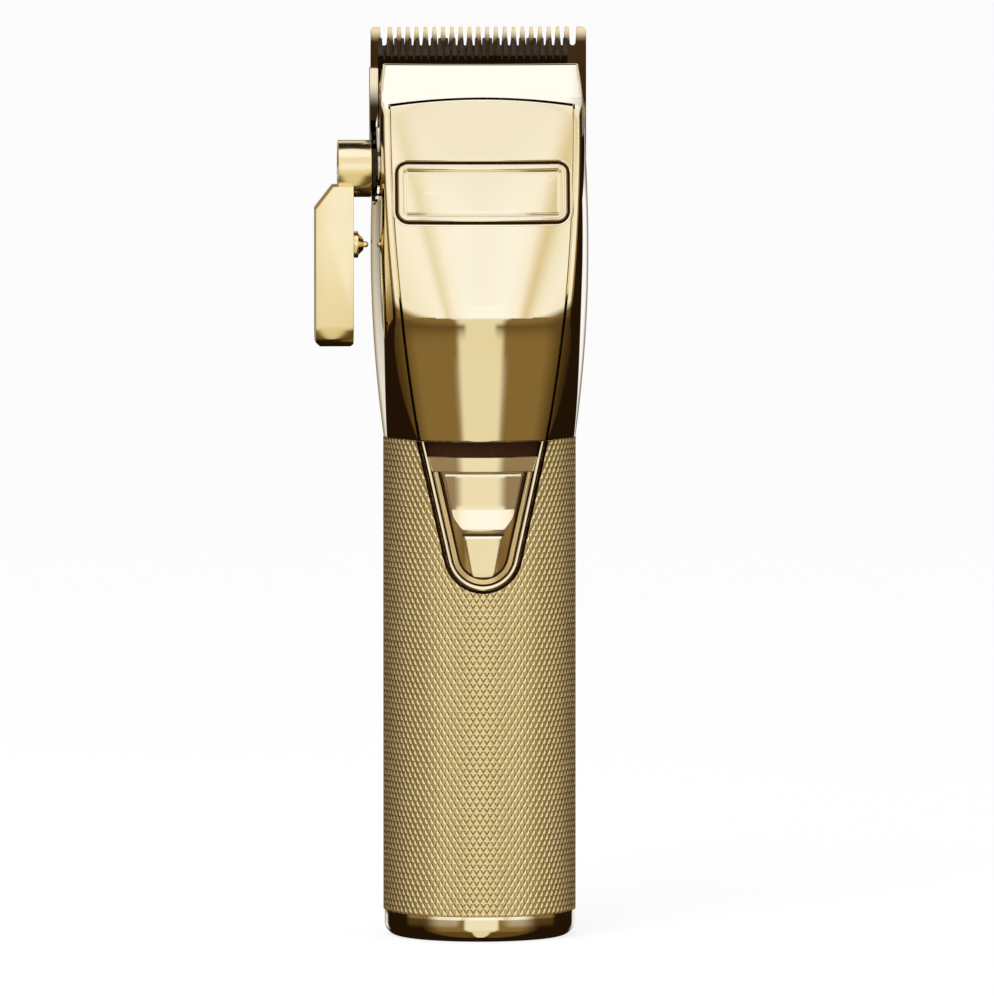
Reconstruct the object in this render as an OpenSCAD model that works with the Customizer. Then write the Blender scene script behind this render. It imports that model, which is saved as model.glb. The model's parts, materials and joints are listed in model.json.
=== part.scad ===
// Cordless hair clipper: knurled barrel, cast head, taper lever and slide switch.
// Origin at the centre of the base face, +Z towards the blade, front of the clipper at -Y.

/* [Barrel] */
// Outer diameter of the knurled barrel sleeve
barrel_d = 40.2; // [39:0.1:41.5]
// Length of the sleeve, from the base ring to the head
barrel_len = 98.9; // [96:0.1:112]
// Wall thickness of the sleeve
sleeve_wall = 1.3; // [1.1:0.1:1.4]

/* [Base] */
// Height of the polished base ring
base_h = 5.5; // [5:0.1:8]
// Rounding of the base ring's lower edge
base_round = 2.75; // [1.5:0.05:3.5]
// Step in from the sleeve to the base ring
base_step = 0.3; // [0.1:0.05:0.6]
// Radius of the charging socket's mouth
socket_bore_r = 2.75; // [2.4:0.05:3]
// Depth of the charging socket
socket_depth = 9; // [7:0.5:10]
// Distance of each base screw from the axis
cap_screw_x = 9.2; // [8.8:0.1:10.5]

/* [Head housing] */
// Length of the head, from the barrel to the nose
head_len = 78; // [76:0.5:82]
// Greatest width of the head
head_w = 46; // [45:0.2:48]
// Height of the widest place above the barrel
bow_h = 39.6; // [36:0.2:43]
// Angle between the head's cheeks and its sides, in degrees
cheek_turn = 28; // [24:0.5:32]
// Wall thickness of the housing
head_wall = 1.9; // [1.7:0.05:2.1]
// How far the front stands out from the barrel at the seam
front_out = 1.4; // [1:0.1:1.8]
// Height of the front ridge above the barrel
ridge_h = 26.1; // [24:0.1:28]
// Lean of the front below the ridge, in degrees
low_lean = 6.6; // [6:0.1:7.4]
// Lean of the front above the ridge, in degrees
up_lean = 13; // [12:0.1:14]
// Height of the bare band at the nose
band_h = 6.7; // [6:0.1:7.6]
// Lean of the nose band, in degrees
band_lean = 34; // [30:0.5:38]
// Radius of the curve of the head's back
back_curve_r = 85; // [80:1:95]

/* [Front cover] */
// Half width of the cover at its widest place
cover_half = 19.25; // [18.8:0.05:19.4]
// Half width of the cover at the barrel
cover_low_half = 13.3; // [12.8:0.1:14]
// Thickness of the cover
cover_t = 1.6; // [1.4:0.05:1.8]
// Rise of the arch along the cover's upper edge
arch_rise = 1.46; // [1:0.02:1.8]
// Gap around the cover
cover_gap = 0.15; // [0.1:0.01:0.25]
// Width of the badge recess
badge_w = 36.2; // [34:0.1:36.6]
// Height of the badge recess
badge_h = 12.8; // [11:0.1:14]
// Drop from the nose to the middle of the badge
badge_drop = 26.3; // [25:0.1:28]

/* [Switch panel] */
// Half width of the V-shaped bezel at its top
vee_half = 13.28; // [12.6:0.05:13.6]
// Length of the V-shaped bezel
vee_len = 31.1; // [30:0.1:33]
// Radius of the bezel's round lower end
vee_r = 7.8; // [7.2:0.05:8.2]
// Width of the bezel's raised rim
rim_w = 0.85; // [0.7:0.05:1.1]
// Height of the rim above the sleeve
rim_out = 0.4; // [0.2:0.05:0.6]
// Drop from the seam to the top of the slide button
slider_drop = 6.7; // [6.4:0.1:7]
// Height of the slide button
slider_h = 12; // [11:0.1:12.6]
// Half width of the slide button at its top
slider_half = 8.15; // [7.6:0.05:8.4]
// Travel of the slide button
slider_travel = 3; // [2:0.1:3.2]

/* [Blades] */
// Width of the fixed blade
blade_w = 45; // [44:0.1:45.4]
// Reach of the fixed blade's teeth past the nose
tip_reach = 7.2; // [6.6:0.1:8]
// Thickness of the fixed blade
blade_t = 3.5; // [3:0.1:4]
// Pitch of the fixed blade's teeth
fixed_pitch = 1.84; // [1.78:0.01:1.86]
// Depth of the gaps between the fixed teeth
fixed_gap_depth = 3.9; // [3.4:0.1:4.4]
// Drop from the fixed tips to the cutter's tips
blade_gap = 2.3; // [2:0.05:2.8]
// Pitch of the cutter's teeth
cutter_pitch = 1.533; // [1.5:0.001:1.55]
// Thickness of the cutter
cutter_t = 1.95; // [1.7:0.05:2]
// Throw of the eccentric that drives the cutter
throw = 1.25; // [1:0.05:1.3]

/* [Taper lever] */
// Diameter of the lever's hub
hub_d = 11.9; // [11.4:0.1:12.4]
// Drop from the nose to the hub's axis
hub_drop = 21.8; // [21:0.1:22.4]
// Place of the hub's axis from front to back
hub_y = -5.5; // [-6:0.1:-5.2]
// Length of the lever below the hub's axis
lever_len = 37; // [34:0.5:40]
// Width of the lever arm across the clipper
arm_w = 7.9; // [7:0.1:8.2]
// Radius of the lever's pivot post
post_r = 1.7; // [1.5:0.05:1.8]
// Offset of the stud that moves the blade
stud_off = 3.95; // [3.8:0.05:4.1]
// Drop from the hub's axis to the detent pin
detent_drop = 15.8; // [15:0.1:17]

/* [Motor and battery] */
// Diameter of the motor can
motor_d = 23; // [22:0.1:24]
// Length of the motor can
motor_len = 37; // [34:0.5:38]
// Place of the motor's axis from front to back
motor_y = -5; // [-5.4:0.1:-4.8]
// Diameter of the battery cell
cell_d = 18.4; // [17.6:0.1:18.6]
// Length of the battery cell
cell_len = 65; // [62:0.5:68]
// Place of the cell's axis from front to back
cell_y = 6.5; // [6:0.1:7]

/* [Hidden] */
$fa = 3;
$fs = 0.5;

eps = 0.01;
big = 400;
// number of facets on the long arcs of the head
fine = 720;
// clearance between fitted pieces of one body, and running clearance on the radius
fit = 0.1;
run = 0.05;

gold = "goldenrod";
pale_gold = "khaki";
dark = [0.13, 0.12, 0.12];
steel = "silver";

// levels
barrel_r = barrel_d / 2;
inner_r = barrel_r - sleeve_wall;
seam_z = base_h + barrel_len;
nose_z = seam_z + head_len;
ridge_z = seam_z + ridge_h;
bow_z = seam_z + bow_h;
band_z = nose_z - band_h;

// head outline: one arc a side, from the barrel's width to the head's
seam_step = 0.2;
side_rise = head_w / 2 - barrel_r - seam_step;
bow_r = (bow_h * bow_h + side_rise * side_rise) / (2 * side_rise);

// cheeks between the front and the sides: one arc each, seen along the cheek
cheek_r = 150;
cheek_z = seam_z + 39.6;
cheek_out = head_w / 2 + 2.9;
function head_half(z) = head_w / 2 - bow_r + sqrt(bow_r * bow_r - (z - bow_z) * (z - bow_z));

// front surfaces: two cones that meet at the ridge, and a cylinder for the nose band
low_cone = 19;
up_cone = 49;
low_front_r = 26;
band_r = 68;
seam_y = -(barrel_r + front_out);
ridge_y = seam_y - ridge_h * tan(low_lean);
up_front_r = low_front_r + ridge_h / cos(low_lean) * tan(low_cone);
function up_y(z) = ridge_y + (z - ridge_z) * tan(up_lean);
band_y = up_y(band_z);

// back of the head, and the pocket that the blades sit in
back_y = barrel_r + seam_step;
back_turn_z = seam_z + 13.6;
pocket_z = nose_z - 24.2;
carrier_t = 3.5;
pocket_y = 1.45;
carrier_y = pocket_y + run;
blade_y = carrier_y + carrier_t;
cutter_y = blade_y - run - cutter_t;
shelf_t = 1.8;
bridge_t = 2.6;
bridge_top = nose_z - 13.9;
nose_wall = 1.5;
window_half = head_w / 2 - 5.2;
plate_h = 2;
throat_r = 15;

// front cover
cover_turn_z = nose_z - 10.4;
cover_dx = cover_half - cover_low_half;
cover_dz = cover_turn_z - seam_z;
cover_bow_r = (cover_dz * cover_dz + cover_dx * cover_dx) / (2 * cover_dx);
arch_r = (cover_half * cover_half + arch_rise * arch_rise) / (2 * arch_rise);
arch_top = band_z - 0.15;
ledge_w = 1.4;
badge_z = nose_z - badge_drop;
badge_depth = 1;
badge_gap = 0.2;
badge_rim = 1.5;
badge_out = 0.25;

// blades
tip_z = nose_z + tip_reach;
cutter_tip_z = tip_z - blade_gap;
blade_low_z = pocket_z + 2;
guard_w = 1.9;
fixed_teeth = 2 * floor((blade_w / 2 - guard_w - 1.4) / fixed_pitch) + 1;
strip_out_x = -blade_w / 2 - 0.3;
strip_in_x = strip_out_x + 1.7;
cutter_side_gap = 0.085;
cutter_room = 2 * (-strip_in_x - throw - cutter_side_gap);
cutter_edge = 1.2;
cutter_teeth = floor((cutter_room - cutter_edge) / cutter_pitch) + 1;
cutter_w = cutter_pitch * (cutter_teeth - 1) + cutter_edge;
cutter_low_z = nose_z - 12;
cutter_root_z = nose_z + 0.4;
blade_screw_x = 10.6;
carrier_screw_x = 16.8;
fastener_z = pocket_z + 6.4;
m3_r = 1.45;
lever_swing = 20;
blade_travel = stud_off * lever_swing * PI / 180;

// taper lever and the blade's side arm
hub_z = nose_z - hub_drop;
relief_x = strip_in_x + 0.2;
eye_t = 1.1;
eye_x = strip_out_x + run;
eye_r = hub_d / 2;
hub_in_x = strip_out_x - run;
arm_in_x = -head_w / 2 - 3.6;
hub_out_x = arm_in_x - 3.15;
arm_out_x = arm_in_x - arm_w;
stud_r = 1;
post_out_x = hub_out_x + 1.6;
detent_z = hub_z - detent_drop;
knob_r = 2.8;
detent_travel = 0.8;
pin_tip_x = -head_half(detent_z) - 0.35;

// drive, along the motor's axis
motor_r = motor_d / 2;
motor_z = seam_z + 3.6;
motor_top = motor_z + motor_len;
end_t = 1.5;
shaft_r = 1;
boss_top = motor_top + end_t + 1.4;
crank_z = boss_top + 0.4;
crank_t = 1.8;
crank_pin_r = 1.6;
bearing_r = 3;
bearing_z = crank_z + crank_t + 0.3;
bearing_h = 3.6;
yoke_z = bearing_z + 0.2;
yoke_t = 3.2;
yoke_play = 0.3;
yoke_slot_x = bearing_r + yoke_play;
yoke_slot_y = bearing_r + throw + 0.4;
yoke_wall = 2;
drive_gap = 0.4;

// barrel's inside
frame_r = inner_r - 0.3;
bezel_back_r = inner_r - 1.6;
cap_floor_z = 2.6;
plug_r = 14;
spigot_h = 4;
frame_z = base_h + spigot_h + 0.1;
frame_floor = 2.4;
flange_z = seam_z - 3.4;
cell_r = cell_d / 2;
cell_z = frame_z + frame_floor + 3.9;
board_y = -9;
board_t = 1.6;
board_half = 12.3;
board_z = cell_z + 10;
board_top = seam_z - 5.4;
board_screw_x = 11;
board_screw_z = board_z + 12;
chip_w = 8;
resistor_z = board_z + 33;
vee_z = seam_z - vee_len;
floor_r = barrel_r - 1.5;
slider_top = seam_z - slider_drop;
slider_z = slider_top - slider_h;
slider_in_r = floor_r + 0.55;
switch_z = slider_z + 1;
light_z = slider_z - 0.75;
socket_r = 5;
frame_screw_r = 14.3;
frame_screw_spots = [90, 210, 330];

// ---- helpers ----

// Extrudes an X-Z outline through the whole depth
module through_y() {
    rotate([90, 0, 0]) linear_extrude(big, center = true) children();
}

// Extrudes an X-Z outline from y0 to y1
module along_y(y0, y1) {
    translate([0, y1, 0]) rotate([90, 0, 0]) linear_extrude(y1 - y0) children();
}

// Extrudes a Y-Z outline from x0 to x1
module along_x(x0, x1) {
    translate([x0, 0, 0]) rotate([90, 0, 90]) linear_extrude(x1 - x0) children();
}

// Box between two corners
module block(a, b) {
    translate(a) cube(b - a);
}

// Round rod from x0 to x1
module rod_x(x0, x1, y, z, r) {
    translate([x0, y, z]) rotate([0, 90, 0]) cylinder(h = x1 - x0, r = r);
}

// Round rod from y0 to y1
module rod_y(y0, y1, x, z, r) {
    translate([x, y1, z]) rotate([90, 0, 0]) cylinder(h = y1 - y0, r = r);
}

// Round tube standing on z0
module pipe(r_out, r_in, z0, h) {
    translate([0, 0, z0]) difference() {
        cylinder(h = h, r = r_out);
        translate([0, 0, -1]) cylinder(h = h + 2, r = r_in);
    }
}

// Flat slot outline with round ends along the second axis
module slot2(r, len) {
    square([2 * r, len], center = true);
    for (s = [-1, 1]) translate([0, s * len / 2]) circle(r = r);
}

// Rectangle outline with round corners
module round_rect(w, h, r) {
    square([w - 2 * r, h], center = true);
    square([w, h - 2 * r], center = true);
    for (x = [-1, 1], y = [-1, 1]) translate([x * (w / 2 - r), y * (h / 2 - r)]) circle(r = r);
}

// ---- head ----

// Cone whose front line passes through (y, z) at a lean; its front curve has radius front_r there
module front_cone(y, z, lean, cone, front_r, below, above, inset) {
    r0 = front_r * cos(cone);
    cut = inset / cos(cone);
    translate([0, y, z]) rotate([-lean - cone, 0, 0]) translate([0, r0, -below])
        cylinder(
            h = below + above,
            r1 = max(r0 - below * tan(cone) - cut, eps),
            r2 = r0 + above * tan(cone) - cut
        );
}

// Everything behind the clipper's front surfaces
module front_solid(inset) {
    up_r = up_front_r * cos(up_cone);
    intersection() {
        front_cone(seam_y, seam_z, -low_lean, low_cone, low_front_r, 7, head_len + 40, inset);
        front_cone(ridge_y, ridge_z, up_lean, up_cone, up_front_r,
            up_r / tan(up_cone) - 0.5, head_len + 20, inset);
        front_cone(band_y, band_z, band_lean, 0, band_r, 120, 60, inset);
    }
}

// Outline of the head seen from the front
module side_arcs(inset) {
    intersection_for(s = [-1, 1])
        translate([s * (head_w / 2 - bow_r), bow_z]) circle(r = bow_r - inset, $fn = fine);
}

// Cheek surfaces at the front corners of the head
module cheeks(inset) {
    intersection_for(s = [-1, 1]) rotate([0, 0, -s * cheek_turn]) through_y()
        translate([s * (cheek_out - cheek_r), cheek_z]) circle(r = cheek_r - inset, $fn = fine);
}

// Turned solid whose wall follows the head's side arc, a given distance outside it
module turned_arc(out) {
    rotate_extrude() intersection() {
        translate([head_w / 2 + out - bow_r, bow_z]) circle(r = bow_r, $fn = fine);
        translate([0, seam_z - 10]) square([head_w, head_len + 20]);
    }
}

// Outline of the head's back, seen from the side
module back_outline(inset) {
    turn = back_y - back_curve_r;
    translate([-60, seam_z - 20]) square([60 + back_y - inset, back_turn_z - seam_z + 20]);
    intersection() {
        translate([turn, back_turn_z]) circle(r = back_curve_r - inset, $fn = fine);
        translate([-60, back_turn_z - 1]) square([120, pocket_z - back_turn_z + 4]);
    }
    translate([-60, pocket_z + 2]) square([60 + pocket_y + 2, head_len]);
}

// The head's outer form, moved inwards by inset, between two levels
module head_form(inset, z0, z1) {
    intersection() {
        front_solid(inset);
        through_y() side_arcs(inset);
        cheeks(inset);
        union() {
            block([-big, -big, 0], [big, 0, big]);
            turned_arc(0.25 - inset);
        }
        along_x(-60, 60) back_outline(inset);
        block([-60, -60, z0], [60, 60, z1]);
    }
}

// Outline of the front cover, grown by grow
module cover_outline(grow) {
    intersection() {
        intersection_for(s = [-1, 1])
            translate([s * (cover_half - cover_bow_r), cover_turn_z])
                circle(r = cover_bow_r + grow, $fn = fine);
        translate([0, arch_top - arch_r]) circle(r = arch_r + grow, $fn = fine);
        translate([-30, seam_z + 0.3 - grow]) square([60, head_len]);
    }
}

module badge_outline(shrink) {
    translate([0, badge_z])
        round_rect(badge_w - 2 * shrink, badge_h - 2 * shrink, max(2.6 - shrink, 0.6));
}

// Slot-like outline of the place that the eye plate moves in
module eye_pocket() {
    translate([hub_y, hub_z]) circle(r = eye_r + blade_travel + 0.3);
    translate([hub_y - 20, hub_z - 2]) square([60, head_len]);
    translate([hub_y, hub_z - 4.2]) square([40, head_len]);
}

// Ledge that the front cover rests on, behind its seat
module cover_ledge() {
    intersection() {
        difference() {
            front_solid(cover_t + 0.05);
            front_solid(cover_t + 1.45);
        }
        along_y(-40, -8) difference() {
            cover_outline(0.8);
            cover_outline(-ledge_w);
        }
        block([-60, -60, seam_z + plate_h / 2], [60, 0, big]);
    }
}

// Hollow of the housing: the motor's room, and the nose in front of the blade pocket
module housing_hollow() {
    intersection() {
        head_form(head_wall, seam_z + plate_h, nose_z - nose_wall);
        union() {
            block([-60, -60, 0], [60, 60, pocket_z - shelf_t]);
            block([-60, -60, 0], [60, pocket_y - bridge_t, big]);
        }
    }
}

// Room that the crank and the yoke move in
module drive_room() {
    half = yoke_slot_x + yoke_wall + 2 * throw + drive_gap;
    block([-half, motor_y - half, crank_z - drive_gap],
        [half, motor_y + yoke_slot_y + 1 + drive_gap, yoke_z + yoke_t + drive_gap]);
}

module head_housing() {
    color(gold) difference() {
        union() {
            difference() {
                head_form(0, seam_z, nose_z);
                housing_hollow();
            }
            cover_ledge();
            // boss of the pivot post
            rod_x(relief_x, relief_x + 3.4, hub_y, hub_z, 5);
        }
        // seat of the front cover and the opening behind it
        difference() {
            along_y(-60, -5) cover_outline(cover_gap);
            front_solid(cover_t + 0.05);
        }
        intersection() {
            along_y(-60, -9) cover_outline(-ledge_w);
            block([-60, -60, seam_z + plate_h + 1.5], [60, 0, big]);
        }
        // pocket for the blades, and the opening that the yoke reaches them through
        block([-60, pocket_y, pocket_z], [60, 60, big]);
        block([-window_half, pocket_y - bridge_t - 1, bridge_top],
            [window_half, pocket_y + 1, nose_z - nose_wall - 0.4]);
        drive_room();
        // flat for the blade's side arm
        along_x(-60, relief_x) eye_pocket();
        rod_x(-30, 0, hub_y, hub_z, post_r + run);
        rod_x(relief_x + 2, relief_x + 12, hub_y, hub_z, 4);
        // dimples of the five lever positions
        for (a = [-2:2]) rotate_about_hub(a * lever_swing / 2)
            translate([-head_half(detent_z) - 0.3, hub_y, detent_z]) sphere(r = 1);
        // throat into the barrel, the screws through the lower plate, and the carrier's screws
        translate([0, 0, seam_z - 1]) cylinder(h = plate_h + 2, r = throat_r - 2.6);
        frame_screw_holes(1.3);
        for (x = [-1, 1]) rod_y(pocket_y - 6, 60, x * carrier_screw_x, fastener_z, m3_r + run);
    }
}

// Turns children about the lever's axis
module rotate_about_hub(a) {
    translate([0, hub_y, hub_z]) rotate([a, 0, 0]) translate([0, -hub_y, -hub_z]) children();
}

module front_cover() {
    color(pale_gold) difference() {
        intersection() {
            head_form(0, seam_z, nose_z);
            along_y(-60, -5) cover_outline(0);
        }
        front_solid(cover_t);
        difference() {
            through_y() badge_outline(0);
            front_solid(badge_depth);
        }
    }
}

module badge_plate() {
    color(gold) difference() {
        intersection() {
            front_solid(-badge_out);
            along_y(-60, -5) badge_outline(badge_gap);
        }
        front_solid(badge_depth);
        difference() {
            through_y() badge_outline(badge_gap + badge_rim);
            front_solid(0.35);
        }
    }
}

// ---- barrel and base ----

// Flat outline of the switch panel: straight sides that run into a round lower end
module vee(shrink, top) {
    r = vee_r - shrink;
    cz = vee_z + vee_r;
    w = vee_half - shrink / cos(13);
    // the sides end just inside the round end, so that they cross it
    r_in = r - 0.02;
    turn = atan2(seam_z - cz, w) - acos(r_in / norm([w, seam_z - cz]));
    low_x = r_in * cos(turn);
    low_y = cz + r_in * sin(turn);
    w_top = w + (w - low_x) / (seam_z - low_y) * (top - seam_z);
    translate([0, cz]) circle(r = r);
    polygon([[-w_top, top], [-low_x, low_y], [low_x, low_y], [w_top, top]]);
}

// Front wall between two radii, cut to an X-Z outline
module wall_piece(r_in, r_out, z0, z1) {
    intersection() {
        pipe(r_out, r_in, z0, z1 - z0);
        along_y(-60, -4) children();
    }
}

module barrel_sleeve() {
    color(gold) difference() {
        pipe(barrel_r, inner_r, base_h, barrel_len);
        along_y(-60, 0) vee(-fit, seam_z + 5);
    }
}

module base_ring() {
    r = barrel_r - base_step;
    color(gold) difference() {
        rotate_extrude() difference() {
            union() {
                translate([0, base_round]) square([r, base_h - base_round]);
                square([r - base_round, base_h]);
                translate([r - base_round, base_round]) circle(r = base_round);
                translate([0, base_h - eps]) square([inner_r - 0.15, spigot_h]);
            }
            translate([0, -1]) square([plug_r, cap_floor_z + 1]);
            translate([0, base_h]) square([inner_r - 1.9, spigot_h + 1]);
            translate([inner_r - 0.95, base_h + 1.3]) square([5, 1.1]);
        }
        translate([0, 0, -1]) cylinder(h = base_h + 2, r = socket_r + fit);
        for (x = [-1, 1]) translate([x * cap_screw_x, 0, -1]) cylinder(h = base_h + 2, r = 1.35);
    }
}

module base_plug() {
    color(dark) difference() {
        translate([0, 0, 0.4]) cylinder(h = cap_floor_z - 0.4, r = plug_r - fit);
        translate([0, 0, -1]) cylinder(h = 8, r = socket_r + fit);
        for (x = [-1, 1]) translate([x * cap_screw_x, 0, -1]) cylinder(h = 8, r = 2.4);
    }
}

module base_seal() {
    color(dark) pipe(inner_r - 0.05, inner_r - 0.9, base_h + 1.4, 0.9);
}

module cap_screws() {
    color(steel) for (x = [-1, 1]) translate([x * cap_screw_x, 0, 0]) difference() {
        union() {
            translate([0, 0, 1]) cylinder(h = cap_floor_z - 1, r = 2.2);
            translate([0, 0, 1]) cylinder(h = frame_z + frame_floor + 1, r = 1.25);
        }
        for (a = [0, 90]) rotate(a) translate([-1.5, -0.25, 0]) cube([3, 0.5, 1.8]);
    }
}

module charging_socket() {
    top = socket_depth + 1.8;
    color(dark) difference() {
        union() {
            translate([0, 0, 0.6]) cylinder(h = top - 0.6, r = socket_r);
            translate([0, 0, base_h]) cylinder(h = 1.4, r = socket_r + 1.2);
        }
        translate([0, 0, -1]) cylinder(h = socket_depth + 1.6, r = socket_bore_r);
        translate([0, 0, -1]) cylinder(h = big, r = 0.8);
    }
}

module socket_pin() {
    color(steel) {
        translate([0, 0, 2.4]) cylinder(h = socket_depth - 1.8, r = 1);
        translate([0, 0, 3]) cylinder(h = socket_depth + 1, r = 0.75);
    }
}

// ---- inside the barrel ----

module frame_screw_holes(r) {
    for (a = frame_screw_spots) rotate(a) translate([frame_screw_r, 0, seam_z - 20])
        cylinder(h = 40, r = r);
}

module inner_frame() {
    low = frame_z;
    ribs = [low, cell_z + 4, cell_z + cell_len / 2, cell_z + cell_len - 6];
    color(dark) difference() {
        union() {
            // half shell along the back
            intersection() {
                pipe(frame_r, frame_r - 1.3, low, seam_z - low);
                block([-30, -3, 0], [30, 30, big]);
            }
            // ribs that hold the cell
            for (z = ribs) intersection() {
                translate([0, 0, z]) cylinder(h = z == low ? frame_floor : 2, r = frame_r - eps);
                block([-30, z == low ? -30 : -6, 0], [30, 30, big]);
            }
            // rails that carry the board
            for (s = [-1, 1]) block(
                [s * 12.2 - 1.9, board_y, board_z],
                [s * 12.2 + 1.9, -2, board_top - 1]
            );
            translate([0, 0, flange_z]) cylinder(h = seam_z - flange_z, r = bezel_back_r - 0.3);
        }
        translate([0, cell_y, cell_z - 0.2]) cylinder(h = cell_len + 2, r = cell_r + fit);
        translate([0, 0, low - 1]) cylinder(h = 20, r = socket_r + 0.3);
        translate([0, 0, flange_z - 1]) cylinder(h = 10, r = 11);
        for (x = [-1, 1]) translate([x * cap_screw_x, 0, low - 1]) cylinder(h = 12, r = 1.3);
        frame_screw_holes(1.3);
        board_holes(0.85);
    }
}

// Places of the two board screws
module board_holes(r) {
    for (s = [-1, 1]) rod_y(board_y - 6, board_y + 5, s * board_screw_x, board_screw_z, r);
}

module frame_screws() {
    color(steel) for (a = frame_screw_spots) rotate(a) translate([frame_screw_r, 0, 0]) {
        translate([0, 0, flange_z - 1.5]) cylinder(h = 1.5, r = 2);
        translate([0, 0, flange_z - 1]) cylinder(h = seam_z + plate_h + 1.2 - flange_z, r = 1.2);
    }
}

module battery_cell() {
    color("steelblue") translate([0, cell_y, cell_z]) {
        cylinder(h = cell_len - 1, r = cell_r);
        cylinder(h = cell_len, r = cell_r - 3.5);
    }
}

module battery_tabs() {
    color(steel) {
        block([-3.5, cell_y - 5, cell_z + cell_len], [3.5, cell_y + 4, cell_z + cell_len + 0.25]);
        block([-3.5, cell_y - 5, cell_z - 0.25], [3.5, cell_y + 4, cell_z]);
    }
}

module battery_leads() {
    z = cell_z + cell_len + 0.25;
    color("crimson") for (x = [-2.2, 2.2]) {
        translate([x, cell_y - 3, z]) cylinder(h = 3.6, r = 0.6);
        rod_y(board_y, cell_y - 3, x, z + 3, 0.6);
    }
}

module control_board() {
    color("darkgreen") difference() {
        block([-board_half, board_y - board_t, board_z], [board_half, board_y, board_top]);
        board_holes(0.9);
    }
}

module board_parts() {
    y = board_y - board_t;
    color(dark) {
        block([-chip_w / 2, y - 1.2, board_z + 22], [chip_w / 2, y, board_z + 22 + chip_w]);
        block([-9.5, y - 2.6, board_z + 3], [-4.5, y, board_z + 8]);
        block([4.5, y - 1, board_z + 17], [9, y, board_z + 20]);
        rod_y(y - 4.2, y, 4, board_z + 7, 3);
        for (x = [-8, -5.6, 6, 8.4]) block([x, y - 0.7, resistor_z], [x + 1.2, y, resistor_z + 2]);
    }
}

module board_screws() {
    color(steel) for (s = [-1, 1]) {
        rod_y(board_y - board_t - 1, board_y - board_t, s * board_screw_x, board_screw_z, 1.5);
        rod_y(board_y - board_t - 0.5, board_y + 4, s * board_screw_x, board_screw_z, 0.8);
    }
}

module power_switch() {
    y = board_y - board_t;
    color(dark) difference() {
        block([-4.5, y - 3.6, switch_z], [4.5, y, switch_z + slider_travel + 7]);
        block([-1.4, y - 4, switch_z + 2.5], [1.4, y - 2.2, switch_z + slider_travel + 5.5]);
    }
}

module status_light() {
    y = board_y - board_t;
    color("white") block([-1.5, y - 1.8, light_z - 0.8], [1.5, y, light_z + 0.8]);
}

module light_bar() {
    y = board_y - board_t - 1.8;
    color("white") intersection() {
        block([-4.3, -30, light_z - 0.3], [4.3, y, light_z + 0.3]);
        translate([0, 0, light_z - 5]) cylinder(h = 10, r = slider_in_r - 0.15);
    }
}

// ---- switch panel ----

module switch_bezel() {
    rim_r = barrel_r + rim_out;
    step_z = slider_top + 0.3;
    step_top = step_z + 3.2;
    color(gold) difference() {
        union() {
            // raised rim
            wall_piece(floor_r - 1, rim_r, vee_z - 1, seam_z - fit) difference() {
                vee(0, seam_z);
                vee(rim_w, seam_z + 1);
            }
            // floor, and the flange behind the sleeve
            wall_piece(bezel_back_r, floor_r, vee_z - 1, seam_z - fit) vee(0, seam_z);
            wall_piece(bezel_back_r, inner_r - fit, vee_z - 3, seam_z - fit) vee(-1.5, seam_z);
            // inner guide ridge
            wall_piece(floor_r - 0.5, floor_r + 0.45, vee_z, step_z) difference() {
                vee(rim_w + 1.5, seam_z);
                vee(rim_w + 2.1, seam_z + 1);
            }
            // step above the slide button
            wall_piece(floor_r - 0.5, floor_r + 0.45, step_z, step_top) vee(rim_w - 0.2, seam_z);
            // tongue below it
            wall_piece(floor_r - 0.5, floor_r + 0.45, vee_z + 2, light_z - 0.6) tongue();
        }
        // slots for the stem and the light bar
        block([-1.5, -30, switch_z + 2.3], [1.5, -10, switch_z + slider_travel + 5.8]);
        block([-4.4, -30, light_z - 0.4], [4.4, -10, light_z + 0.4]);
        // deep place under the head
        wall_piece(floor_r - 0.9, floor_r + 2, step_top, seam_z + 1) vee(rim_w + 0.2, seam_z + 2);
    }
}

// Tapered outline of the tongue
module tongue() {
    top = light_z - 0.6;
    translate([0, vee_z + 4.6]) circle(r = 2.3);
    polygon([[-4.3, top], [-2.25, vee_z + 4.2], [2.25, vee_z + 4.2], [4.3, top]]);
}

// Tapered outline of the slide button, with a round lower end
module slider_outline() {
    low_half = slider_half * 0.66;
    polygon([
        [-slider_half, slider_top], [-low_half, slider_z + 2.6], [-3.4, slider_z],
        [3.4, slider_z], [low_half, slider_z + 2.6], [slider_half, slider_top]
    ]);
}

module switch_slider() {
    face_r = slider_in_r + 0.9;
    lip_r = face_r + 1.3;
    lip_z = slider_z + 4.7;
    color(gold) {
        difference() {
            intersection() {
                rotate_extrude() polygon([
                    [slider_in_r, slider_z], [lip_r - 0.5, slider_z], [lip_r, slider_z + 0.8],
                    [face_r, lip_z], [face_r, slider_top - 0.8], [face_r - 0.3, slider_top],
                    [slider_in_r, slider_top]
                ]);
                along_y(-60, -4) slider_outline();
            }
        }
        // stem that moves the switch
        block(
            [-1.1, -slider_in_r - 0.3, switch_z + 2.8],
            [1.1, board_y - board_t - 2.6, switch_z + 5.2]
        );
    }
}

// ---- drive ----

module motor_cradle() {
    floor_z = seam_z + plate_h;
    color(dark) difference() {
        union() {
            translate([0, 0, floor_z]) cylinder(h = motor_z - floor_z, r = throat_r + 1.3);
            translate([0, motor_y, floor_z]) cylinder(h = 16, r = motor_r + 1.5);
        }
        translate([0, motor_y, motor_z]) cylinder(h = 30, r = motor_r + fit);
        translate([0, motor_y, floor_z - 1]) cylinder(h = 10, r = 8.6);
        frame_screw_holes(1.3);
        for (x = [-3, 3]) translate([x, board_y + 0.7, floor_z - 1]) cylinder(h = 9, r = 0.7);
    }
}

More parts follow.
